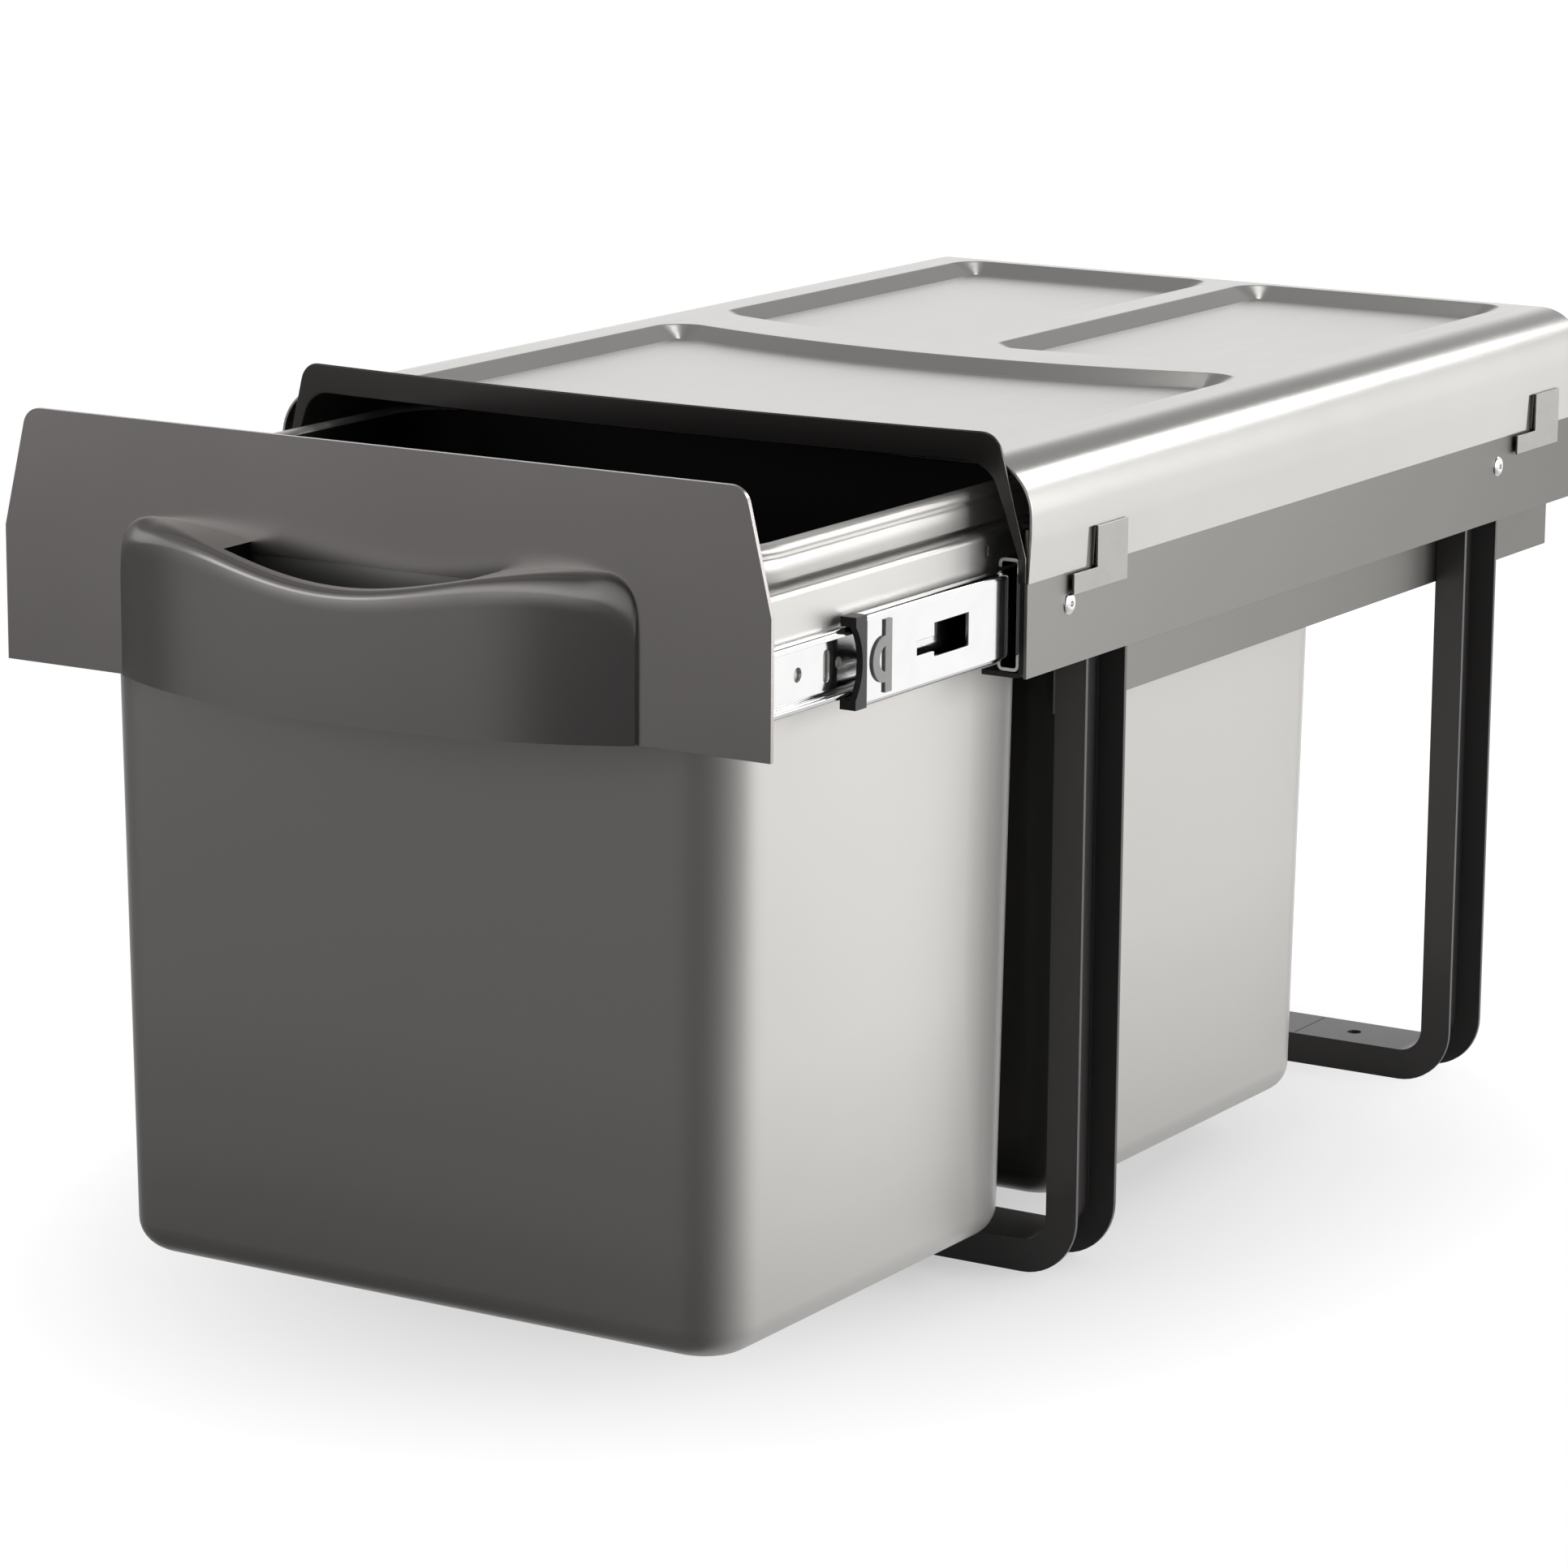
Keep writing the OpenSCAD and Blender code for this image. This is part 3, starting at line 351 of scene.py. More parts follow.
bm = bmesh.new()
lines = []
curve = [(rear_round * (1 - math.cos(a)), cover_high.y - rear_round + rear_round * math.sin(a))
         for a in np.radians(np.linspace(0, 90, 6))]
for inset, y in [(0, y) for y in rows[:-1]] + curve:
    half = cover_profile(inset)
    full = half + [(-x, z) for x, z in reversed(half)]
    lines.append([bm.verts.new((x, y, z)) for x, z in full])
side_count = len(cover_profile(0))
for j in range(len(lines) - 1):
    for i in range(len(lines[0]) - 1):
        over_lid = i == side_count - 1
        on_skirt = i in (0, len(lines[0]) - 2)
        if j < len(rows) - 1 and (over_lid or (on_skirt and rows[j] in notch_at)):
            continue
        bm.faces.new((lines[j][i], lines[j][i + 1], lines[j + 1][i + 1], lines[j + 1][i]))
bm.faces.new(lines[-1][2:-2])

corner_x = tray_x - tray_r
front_cy = arc_y - math.sqrt((arc_r + tray_r) ** 2 - corner_x ** 2)
tangent = math.degrees(math.atan2(front_cy - arc_y, corner_x))
front_outline = (arc_of(corner_x, tray_front + tray_r, tray_r, -90, 0, 13)
                 + arc_of(corner_x, front_cy, tray_r, 0, tangent + 180, 13)
                 + arc_of(0, arc_y, arc_r, tangent, -180 - tangent, 49, -1)[1:-1]
                 + arc_of(-corner_x, front_cy, tray_r, -tangent, 180, 13)
                 + arc_of(-corner_x, tray_front + tray_r, tray_r, 180, 270, 13))
inner_x, land_r = 7.5 * MM + tray_r, arc_r - land
lower_r = land_r - tray_r
inner_a = math.degrees(math.atan2(-math.sqrt(lower_r ** 2 - inner_x ** 2), inner_x))
outer_a = math.degrees(math.atan2(-math.sqrt(lower_r ** 2 - corner_x ** 2), corner_x))
inner_cy, outer_cy = (arc_y - math.sqrt(lower_r ** 2 - x ** 2) for x in (inner_x, corner_x))
rear_cy = tray_rear - tray_r
rear_outline = (arc_of(inner_x, inner_cy, tray_r, -180, inner_a, 13)
                + arc_of(0, arc_y, land_r, inner_a, outer_a, 25)[1:-1]
                + arc_of(corner_x, outer_cy, tray_r, outer_a, 0, 13)
                + arc_of(corner_x, rear_cy, tray_r, 0, 90, 13)
                + arc_of(inner_x, rear_cy, tray_r, 90, 180, 13))
left_outline = [(-x, y, -nx, ny) for x, y, nx, ny in reversed(rear_outline)]
wall_run = np.array([0, 0.03, 0.06, 0.09, 0.12, 0.15, 0.5, 0.86, 0.90, 0.93, 0.96, 1.0])
wall_slope = np.array([0, 0.33, 0.66, 0.92, 1, 1, 1, 1, 1.25, 1.1, 0.6, 0])
fall = np.concatenate([[0], np.cumsum(np.diff(wall_run) * (wall_slope[1:] + wall_slope[:-1]) / 2)])
wall_steps = [(-0.5 * MM, 0)] + [(tray_run * t, tray_deep * d / fall[-1]) for t, d in zip(wall_run, fall)]
wall_steps += [(tray_run + 0.6 * MM, tray_deep)]
lid_edges = []
for outline in (front_outline, rear_outline, left_outline):
    rings = [[bm.verts.new((x - nx * run, y - ny * run, cover_top - drop)) for x, y, nx, ny in outline]
             for run, drop in wall_steps]
    for a, b in zip(rings, rings[1:]):
        strip_faces(bm, a, b, True)
    bm.faces.new(rings[-1])
    lid_edges += [bm.edges.get((rings[0][i], rings[0][(i + 1) % len(outline)])) for i in range(len(outline))]
lid_left, lid_right = ([line[i] for line in lines[:len(rows)]] for i in (side_count - 1, side_count))
for side in (lid_left, lid_right):
    lid_edges += [bm.edges.get(pair) for pair in zip(side, side[1:])]
lid_edges += [bm.edges.new((lid_left[0], lid_right[0])), bm.edges.get((lid_left[-1], lid_right[-1]))]
bmesh.ops.triangle_fill(bm, use_beauty=True, edges=lid_edges, normal=(0, 0, 1))
bmesh.ops.recalc_face_normals(bm, faces=bm.faces)
cover = piece("pressed_cover", bm, silver, edge=0.25 * MM, wall=sheet, angle=50)
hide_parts("cover")
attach(cover, "fixed_frame")


# Front trim: a folded steel frame in dark satin paint round the drawer opening. Its face bows
# forwards in the middle, its sides taper to the cover's skirts, and it laps the cover's front edge.
trim_coat = Finish("trim_coat", "plate_coat", Metallic=0.8)
mottle = trim_coat.noise(12, 2, 0.5)
trim_coat.feed("Base Color", trim_coat.blend(mottle, (0.085, 0.080, 0.078, 1), (0.105, 0.099, 0.096, 1)))
trim_coat.feed("Roughness", 0.20 + mottle * 0.05)
trim_coat.bump(trim_coat.noise(2600, 2, 0.5), 0.02 * MM, 0.3)


def shield(w_low, w_top, z_low, z_break, z_top, r, across):
    """Right lower corner round to the left lower corner: straight foot, sloped side, round corner."""
    slope = math.atan2(w_low - w_top, z_top - z_break)
    zc = z_top - r
    xc = w_low - (zc - z_break) * math.tan(slope) - r / math.cos(slope)
    points = [(w_low, z) for z in np.linspace(z_low, z_break, 4)]
    points += [(xc + r * math.cos(a), zc + r * math.sin(a)) for a in np.linspace(slope, math.pi / 2, 11)]
    points += [(x, z_top) for x in np.linspace(xc, 0, across)[1:]]
    return points + [(-x, z) for x, z in reversed(points[:-1])]


trim_low, trim_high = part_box("cover_trim")
trim_half, trim_bow, trim_wall = trim_high.x, 10 * MM, 1.6 * MM
trim_break, trim_taper = cover_top - 38 * MM, 12.6 * MM
side_band, top_band = 3.2 * MM, 12 * MM
outer = shield(trim_half, trim_half - trim_taper, trim_low.z, trim_break, trim_high.z, 9 * MM, 33)
inner = shield(trim_half - side_band, trim_half - side_band - trim_taper, trim_low.z, trim_break,
               trim_high.z - top_band, 14 * MM, 33)


def bowed(x):
    return zero - trim_bow * (1 - (x / trim_half) ** 2)


bm = bmesh.new()
outer_row = [bm.verts.new((x, bowed(x), z)) for x, z in outer]
inner_row = [bm.verts.new((x, bowed(x), z)) for x, z in inner]
strip_faces(bm, outer_row, inner_row)
bmesh.ops.recalc_face_normals(bm, faces=bm.faces)
for face in bm.faces:
    if face.normal.y > 0:
        face.normal_flip()
trim = piece("front_trim", bm, trim_coat, edge=0.5 * MM, wall=trim_wall, angle=40)
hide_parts("cover_trim")
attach(trim, "fixed_frame")


# Side panels, clips and strips: flat sheet parts in the cover's silver. The panels are riveted to
# the black rails, the spring clips hook over the skirt, and the strips are welded inside the hoops.
def dressed(node, finish, edge):
    """The CAD node's own form with its sharp edges broken, as cut and folded sheet has them."""
    bm = bmesh.new()
    bm.from_mesh(frame["nodes"][node].data)
    bmesh.ops.remove_doubles(bm, verts=bm.verts, dist=0.005 * MM)
    bmesh.ops.dissolve_limit(bm, angle_limit=math.radians(0.4), verts=bm.verts, edges=bm.edges)
    obj = piece(node + "_part", bm, finish, edge=edge, angle=40)
    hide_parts(node)
    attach(obj, frame["nodes"][node]["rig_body"])


panel_silver = Finish("panel_silver", "silver_sheet", Metallic=0.92)
streaks = panel_silver.noise(1000, 3, 0.6, (1, 0.025, 1))
cloud = panel_silver.noise(7, 3, 0.55)
to_rear = panel_silver.part(panel_silver.place, "Y")
# Painted shade: panels and strips are painted darker towards the rear, with a random cloud on top.
rear_shade_and_cloud = panel_silver.fit(to_rear, cover_low.y, cover_high.y, 0.0, 0.75) + cloud * 0.25
panel_silver.feed("Base Color", panel_silver.blend(rear_shade_and_cloud, (0.262, 0.254, 0.241, 1), (0.170, 0.163, 0.154, 1)))
panel_silver.feed("Roughness", 0.34 + cloud * 0.06 + streaks * 0.07)
panel_silver.bump(streaks, 0.015 * MM, 0.3)
clip_silver = Finish("clip_silver", "silver_sheet", Metallic=0.92)
cloud = clip_silver.noise(60, 2, 0.5)
clip_silver.feed("Base Color", clip_silver.blend(cloud, (0.385, 0.375, 0.358, 1), (0.43, 0.42, 0.40, 1)))
clip_silver.feed("Roughness", 0.24 + cloud * 0.08)
for side in ("right", "left"):
    dressed("side_panel_" + side, panel_silver, 0.3 * MM)
    dressed("clips_" + side, clip_silver, 0.2 * MM)
    dressed("strip_" + side, panel_silver, 0.3 * MM)


# Rivets: zinc plated blind rivets with a domed head, two on each side, that hold panel, rail and
# slide together. Each head has the small hole of its pulled pin, and its tail ends in the slide's
# outer member.
zinc = Finish("zinc_steel", "zinc_steel", Metallic=1.0)
cloud = zinc.noise(60, 3, 0.6)
fine = zinc.noise(1500, 2, 0.5, (1, 0.05, 1))
zinc.feed("Base Color", zinc.blend(cloud, (0.80, 0.80, 0.80, 1), (0.90, 0.90, 0.895, 1)))
zinc.feed("Roughness", 0.05 + cloud * 0.05 + fine * 0.05)
zinc.bump(fine, 0.01 * MM, 0.3)


def turned(name, outline, count, finish):
    """A turned piece: the outline (distance along the axis, radius) is spun round X."""
    bm = bmesh.new()
    rings = [[bm.verts.new((along, r * math.cos(a), r * math.sin(a)))
              for a in np.linspace(0, 2 * math.pi, count, endpoint=False)] for along, r in outline]
    for a, b in zip(rings, rings[1:]):
        strip_faces(bm, a, b, True)
    bm.faces.new(rings[0])
    bm.faces.new(list(reversed(rings[-1])))
    bmesh.ops.recalc_face_normals(bm, faces=bm.faces)
    return piece(name, bm, finish, angle=50)


class Nodes:
    """A Geometry Nodes tree whose inputs are named, and whose result becomes a plain mesh."""
    def __init__(self, name):
        self.tree = bpy.data.node_groups.new(name, "GeometryNodeTree")
        self.tree.interface.new_socket("Geometry", in_out="INPUT", socket_type="NodeSocketGeometry")
        self.tree.interface.new_socket("Geometry", in_out="OUTPUT", socket_type="NodeSocketGeometry")
        self.start = self.tree.nodes.new("NodeGroupInput")
        self.values = {}

    def input(self, name, kind, value):
        self.tree.interface.new_socket(name, in_out="INPUT", socket_type=kind)
        self.values[name] = value
        return self.start.outputs[name]

    def node(self, kind, settings, sockets):
        made = self.tree.nodes.new(kind)
        for key, value in settings.items():
            setattr(made, key, value)
        for key, value in sockets.items():
            if isinstance(value, bpy.types.NodeSocket):
                self.tree.links.new(value, made.inputs[key])
            else:
                made.inputs[key].default_value = value
        return made

    def object_input(self, name, obj):
        """The geometry of an object that is one of the tree's named inputs."""
        held = self.input(name, "NodeSocketObject", obj)
        return self.node("GeometryNodeObjectInfo", {}, {"Object": held}).outputs["Geometry"]

    def build(self, name, last, finish, angle=35):
        """Realizes the last node's geometry, gives it its material and makes it a plain mesh."""
        real = self.node("GeometryNodeRealizeInstances", {}, {"Geometry": last})
        coat = self.node("GeometryNodeSetMaterial", {}, {
            "Geometry": real.outputs[0], "Material": finish.material})
        end = self.tree.nodes.new("NodeGroupOutput")
        self.tree.links.new(coat.outputs[0], end.inputs[0])
        obj = into_scene(name, bpy.data.meshes.new(name))
        made = obj.modifiers.new("nodes", "NODES")
        made.node_group = self.tree
        for item in self.tree.interface.items_tree:
            if item.in_out == "INPUT" and item.name in self.values:
                made[item.identifier] = self.values[item.name]
        settle(obj)
        obj.data.shade_smooth()
        obj.data.set_sharp_from_angle(angle=math.radians(angle))
        return obj


def guide(name, points, edges=()):
    """A mesh of bare points and edges that a node tree reads. It is removed after the tree has run."""
    mesh = bpy.data.meshes.new(name)
    mesh.from_pydata(points, edges, [])
    return into_scene(name, mesh)


def placed(name, shape, places, finish, stands_for, body, turn_z=0.0):
    """Copies of one shape at the given places, in one mesh."""
    cloud = guide(name + "_places", places)
    nodes = Nodes(name)
    dots = nodes.node("GeometryNodeMeshToPoints", {}, {"Mesh": nodes.object_input("Places", cloud)})
    copy = nodes.object_input("Shape", shape)
    spin = nodes.node("ShaderNodeCombineXYZ", {}, {"Z": nodes.input("Turn", "NodeSocketFloat", turn_z)})
    many = nodes.node("GeometryNodeInstanceOnPoints", {}, {
        "Points": dots.outputs[0], "Instance": copy, "Rotation": spin.outputs[0]})
    obj = nodes.build(name, many.outputs[0], finish)
    for used in (cloud, shape):
        bpy.data.objects.remove(used)
    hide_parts(stands_for)
    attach(obj, body)


rivet_low, rivet_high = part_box("rivets")
panel_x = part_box("side_panel_right")[1].x
rivet_z = (rivet_low.z + rivet_high.z) / 2
head_r = (rivet_high.z - rivet_low.z) / 2
head_h = rivet_high.x - panel_x
tail, tail_r = panel_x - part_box("slide_outer_right")[1].x + 1.5 * MM, 2.2 * MM
dome = [(head_h * math.sin(a), head_r * math.cos(a)) for a in np.radians(np.linspace(0, 68, 8))]
rivet_outline = ([(-tail, tail_r), (0, tail_r), (0, head_r)] + dome[1:]
                 + [(head_h * 0.9, 1.15 * MM), (head_h * 0.1, 1.05 * MM)])
for side, sign in (("right", 1), ("left", -1)):
    shape = turned("rivet_shape", rivet_outline, 32, zinc)
    spots = [(sign * panel_x, y, rivet_z) for y in (rivet_low.y + head_r, rivet_high.y - head_r)]
    placed("rivets_" + side, shape, spots, zinc, "rivets", "fixed_frame", 0.0 if sign > 0 else math.pi)


# Frame rails and rear tie: folded steel in gloss black inside the side panels. The rails carry the
# slides and show at the front as the black flange under the slide.
black = Finish("black_steel", "black_steel", Metallic=0.0)
orange_peel = black.noise(420, 2, 0.5)
black.feed("Base Color", black.blend(black.noise(30), (0.009, 0.009, 0.009, 1), (0.015, 0.015, 0.015, 1)))
black.feed("Roughness", 0.28 + orange_peel * 0.1)
black.bump(orange_peel, 0.02 * MM, 0.4)
for side in ("right", "left"):
    dressed("frame_rail_" + side, black, 0.3 * MM)
dressed("back_tie", black, 0.3 * MM)


# Hoops: steel channel, open outwards, bent into a U with round lower corners and coated in fine
# anthracite powder, with a pale painted highlight along the outer flange edges. The bottom webs
# have the screw holes and the butt seams.
hoop_coat = Finish("dark_coat", "dark_coat", Metallic=0.25)
grainy = hoop_coat.noise(1900, 2, 0.55)
wide = hoop_coat.noise(14, 2, 0.5)
outward = hoop_coat.part(hoop_coat.place, "X")
# Painted highlight: a thin near white band along the outer flange edges.
painted_tip_highlight = hoop_coat.fit(outward * outward, (half_w - 0.7 * MM) ** 2, (half_w - 0.25 * MM) ** 2, 0.0, 0.36)
mottled_coat = hoop_coat.blend(wide, (0.090, 0.086, 0.085, 1), (0.106, 0.102, 0.100, 1))
hoop_coat.feed("Base Color", hoop_coat.blend(painted_tip_highlight, mottled_coat, (1.0, 0.97, 0.94, 1)))
hoop_coat.feed("Roughness", 0.27 + grainy * 0.10)
hoop_coat.bump(grainy, 0.03 * MM, 0.5)
hoop_r, hoop_deep, hoop_wall = 25 * MM, 14 * MM, 2 * MM
screw_x, screw_r, seam_x, seam_wide, seam_deep = 119 * MM, 3.25 * MM, 96 * MM, 0.5 * MM, 0.4 * MM


def channel_sweep(name, path, section, radius, steps, finish):
    """A rolled section swept along a path: the tree rounds the path's corners and sweeps the section."""
    used = [guide(name + "_path", path, [(i, i + 1) for i in range(len(path) - 1)]),
            guide(name + "_section", section, [(i, (i + 1) % len(section)) for i in range(len(section))])]
    nodes = Nodes(name)
    way_curve = nodes.node("GeometryNodeMeshToCurve", {}, {"Mesh": nodes.object_input("Path", used[0])})
    cut_curve = nodes.node("GeometryNodeMeshToCurve", {}, {"Mesh": nodes.object_input("Section", used[1])})
    bent = nodes.node("GeometryNodeFilletCurve", {"mode": "POLY"}, {
        "Curve": way_curve.outputs[0], "Count": nodes.input("Steps", "NodeSocketInt", steps),
        "Radius": nodes.input("Bend radius", "NodeSocketFloat", radius)})
    swept = nodes.node("GeometryNodeCurveToMesh", {}, {
        "Curve": bent.outputs[0], "Profile Curve": cut_curve.outputs[0], "Fill Caps": True})
    obj = nodes.build(name, swept.outputs[0], finish, 40)
    for helper in used:
        bpy.data.objects.remove(helper)
    return obj


for node in ("hoop_front", "hoop_rear"):
    low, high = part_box(node)
    wide_half, mid_y = (high.y - low.y) / 2, (low.y + high.y) / 2
    inside = wide_half - hoop_wall
    # the section: minus the distance in from the flange tips, and across
    section = [(0, -wide_half), (0, -wide_half + hoop_wall), (hoop_wall - hoop_deep, -wide_half + hoop_wall),
               (hoop_wall - hoop_deep, inside), (0, inside), (0, wide_half),
               (-hoop_deep, wide_half), (-hoop_deep, -wide_half)]
    path = [(high.x, mid_y, high.z), (high.x, mid_y, 0), (-high.x, mid_y, 0), (-high.x, mid_y, high.z)]
    hoop = channel_sweep(node + "_channel", path, [(x, y, 0) for x, y in section], hoop_r, 12, hoop_coat)
    cutters = []
    for sign in (1, -1):
        hole, seam = (Matrix.Translation((sign * x, mid_y, hoop_deep)) for x in (screw_x, seam_x))
        cut = bmesh.new()
        bmesh.ops.create_cone(cut, cap_ends=True, segments=40, radius1=screw_r, radius2=screw_r, depth=20 * MM,
                              matrix=hole)
        bmesh.ops.create_cube(
            cut, size=1, matrix=seam @ Matrix.Diagonal((seam_wide, 2 * inside, 2 * seam_deep, 1)))
        mesh = bpy.data.meshes.new("cutter")
        cut.to_mesh(mesh)
        cut.free()
        cutters.append(into_scene("cutter", mesh))
        cutting = hoop.modifiers.new("cut", "BOOLEAN")
        cutting.object, cutting.operation, cutting.solver = cutters[-1], "DIFFERENCE", "EXACT"
    break_edges(hoop, 0.6 * MM, 40)
    settle(hoop)
    for cutter in cutters:
        bpy.data.objects.remove(cutter)
    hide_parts(node)
    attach(hoop, "fixed_frame")


# Slides, drawer rails and cross rails: rolled and folded zinc plated strip. The three members of
# each slide run on balls, and the light rails above them carry the plate and the bins.
for side in ("right", "left"):
    dressed("slide_outer_" + side, zinc, 0.35 * MM)
    dressed("slide_middle_" + side, zinc, 0.3 * MM)
    dressed("slide_inner_" + side, zinc, 0.3 * MM)
rail_silver = Finish("rail_silver", "silver_sheet", Metallic=0.7)
cloud = rail_silver.noise(8, 2, 0.5)
rail_silver.feed("Base Color", rail_silver.blend(cloud, (0.58, 0.57, 0.555, 1), (0.65, 0.64, 0.62, 1)))
rail_silver.feed("Roughness", 0.30 + cloud * 0.08)
rail_silver.bump(rail_silver.noise(900, 2), 0.02 * MM, 0.3)
for node in ("drawer_rail_right", "drawer_rail_left",
             "cross_rail_front", "cross_rail_middle", "cross_rail_rear"):
    dressed(node, rail_silver, 0.3 * MM)
stop_grey = Finish("grey_plastic", "grey_plastic", Roughness=0.45)
stop_grey.feed("Base Color", stop_grey.blend(
    stop_grey.noise(300), (0.30, 0.30, 0.295, 1), (0.36, 0.36, 0.355, 1)))
cap_black = Finish("black_plastic", "black_plastic", Roughness=0.5)
cap_black.feed("Base Color", cap_black.blend(
    cap_black.noise(300), (0.010, 0.010, 0.010, 1), (0.016, 0.016, 0.016, 1)))
dressed("slide_stops", stop_grey, 0.15 * MM)
dressed("slide_bumpers", cap_black, 0.3 * MM)


def ball_rows(name, corners, count, pitch, r, finish, node):
    """Rows of balls along Y: the tree sets a line of balls at each corner point."""
    cloud = guide(name + "_corners", corners)
    nodes = Nodes(name)
    starts = nodes.node("GeometryNodeMeshToPoints", {}, {"Mesh": nodes.object_input("Corners", cloud)})
    step = nodes.node("ShaderNodeCombineXYZ", {}, {"Y": nodes.input("Pitch", "NodeSocketFloat", pitch)})
    line = nodes.node("GeometryNodeMeshLine", {"mode": "OFFSET"},
                      {"Count": nodes.input("Count", "NodeSocketInt", count), "Offset": step.outputs[0]})
    rows = nodes.node("GeometryNodeInstanceOnPoints", {}, {
        "Points": starts.outputs[0], "Instance": line.outputs[0]})
    real = nodes.node("GeometryNodeRealizeInstances", {}, {"Geometry": rows.outputs[0]})
    seats = nodes.node("GeometryNodeMeshToPoints", {}, {"Mesh": real.outputs[0]})
    ball = nodes.node("GeometryNodeMeshIcoSphere", {},
                      {"Radius": nodes.input("Radius", "NodeSocketFloat", r), "Subdivisions": 3})
    many = nodes.node("GeometryNodeInstanceOnPoints", {}, {
        "Points": seats.outputs[0], "Instance": ball.outputs[0]})
    obj = nodes.build(name, many.outputs[0], finish, 60)
    bpy.data.objects.remove(cloud)
    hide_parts(node)
    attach(obj, frame["nodes"][node]["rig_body"])


ball_pitch, cage_thick = 18 * MM, 0.6 * MM
for node, ball_r in (("ball_cages_outer", 1.35 * MM), ("ball_cages_inner", 1.125 * MM)):
    low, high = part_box(node)
    arm_x = min(v.co.x for v in frame["nodes"][node].data.vertices if v.co.x > 0)
    long, mid_z = high.y - low.y, (low.z + high.z) / 2
    ball_x, ball_z = (arm_x + high.x) / 2, (high.z - low.z) / 2 - ball_r
    count = int((long - ball_pitch) // ball_pitch) + 1
    corners = [(sx * ball_x, low.y + ball_pitch / 2, mid_z + sz * ball_z) for sx in (1, -1) for sz in (1, -1)]
    ball_rows(node + "_balls", corners, count, ball_pitch, ball_r, zinc, node)
    bm = bmesh.new()
    arm_z = ball_z + cage_thick / 2
    for sx in (1, -1):
        for x0, x1, z0, z1 in ((high.x - cage_thick, high.x, -arm_z, arm_z),
                               (arm_x, high.x, arm_z - cage_thick, arm_z),
                               (arm_x, high.x, -arm_z, -arm_z + cage_thick)):
            middle = Matrix.Translation((sx * (x0 + x1) / 2, low.y + long / 2, mid_z + (z0 + z1) / 2))
            bmesh.ops.create_cube(bm, size=1, matrix=middle @ Matrix.Diagonal((x1 - x0, long, z1 - z0, 1)))
    strips = piece(node + "_strips", bm, zinc, edge=0.1 * MM)
    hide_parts(node)
    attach(strips, frame["nodes"][node]["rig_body"])


# Front plate: bent steel plate in satin anthracite with cut-off upper corners. It is bolted to the
# drawer rails and carries the grip, which two pan head screws hold from behind.
anthracite = Finish("plate_coat", "plate_coat", Metallic=0.9)
speckle = anthracite.noise(2600, 2, 0.5)
haze = anthracite.noise(12, 2, 0.5)
anthracite.feed("Base Color", anthracite.blend(haze, (0.400, 0.378, 0.370, 1), (0.440, 0.416, 0.407, 1)))
anthracite.feed("Roughness", 0.26 + haze * 0.04)
anthracite.bump(speckle, 0.02 * MM, 0.4)
dressed("front_plate", anthracite, 0.5 * MM)
dressed("plate_fasteners", zinc, 0.2 * MM)
screw_low, screw_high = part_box("grip_screws")
pan_r, pan_h, shank_r = (screw_high.z - screw_low.z) / 2, 2.2 * MM, 1.4 * MM
shank = screw_high.y - screw_low.y - pan_h
screw_outline = [(-shank, shank_r * 0.6), (-shank + 1 * MM, shank_r), (0, shank_r), (0, pan_r),
                 (pan_h * 0.55, pan_r), (pan_h * 0.9, pan_r * 0.75), (pan_h, pan_r * 0.5),
                 (pan_h, pan_r * 0.3), (pan_h * 0.4, pan_r * 0.25)]
screw = turned("screw_shape", screw_outline, 24, zinc)
screw_z = (screw_low.z + screw_high.z) / 2
spots = [(sign * (screw_high.x - pan_r), screw_high.y - pan_h, screw_z) for sign in (1, -1)]
placed("grip_screws_pan", screw, spots, zinc, "grip_screws", "drawer", math.pi / 2)


# Grip: one moulding in satin dark plastic, bowed out of the plate. The fingers go behind its
# dipped lip into a pocket, whose thin shell reaches back through the plate's cut-out.
moulded = Finish("grip_plastic", "grip_plastic", Metallic=0.92, Coat_Weight=0.25, Coat_Roughness=0.25)
spark = moulded.noise(1400, 2, 0.5)
moulded.feed("Base Color", moulded.blend(moulded.noise(16), (0.400, 0.382, 0.373, 1), (0.440, 0.420, 0.410, 1)))
moulded.feed("Roughness", 0.21 + spark * 0.05)
moulded.bump(spark, 0.012 * MM, 0.3)
# Painted shade: the faces in the pocket behind the lip are painted near black.
pocket_shade = Finish("grip_pocket_shade", "grip_plastic", Specular_IOR_Level=0.15)
pocket_shade.feed("Base Color", pocket_shade.blend(
    pocket_shade.noise(300), (0.010, 0.010, 0.010, 1), (0.018, 0.017, 0.017, 1)))
pocket_shade.feed("Roughness", 0.5 + pocket_shade.noise(900) * 0.1)
grip_low, grip_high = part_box("grip")
grip_half, grip_wall, grip_out = grip_high.x, 3 * MM, grip_high.y - grip_low.y
grip_edge, grip_fall, grip_corner, grip_dip = 1.6 * MM, 2.5, 14 * MM, 13 * MM
dip_half, pocket_half, lip_deep, lip_drop = 0.84 * grip_half, 0.48 * grip_half, 8 * MM, 2.6 * MM
shell_low, shell_high = grip_low.z + 14.6 * MM, grip_low.z + 54.3 * MM
shell_deep, shell_skin, shell_floor = 8 * MM, 1 * MM, 0.5 * MM


def grip_depth(x):
    return grip_edge + (grip_out - grip_edge) * (1 - abs(x / grip_half) ** grip_fall)


def grip_top(x):
    x = abs(x)
    past = x - grip_half + grip_corner
    if past > 0:
        return grip_high.z - grip_corner + math.sqrt(max(0, grip_corner ** 2 - past ** 2))
    if x < dip_half:
        return grip_high.z - grip_dip * (1 + math.cos(math.pi * x / dip_half)) / 2
    return grip_high.z


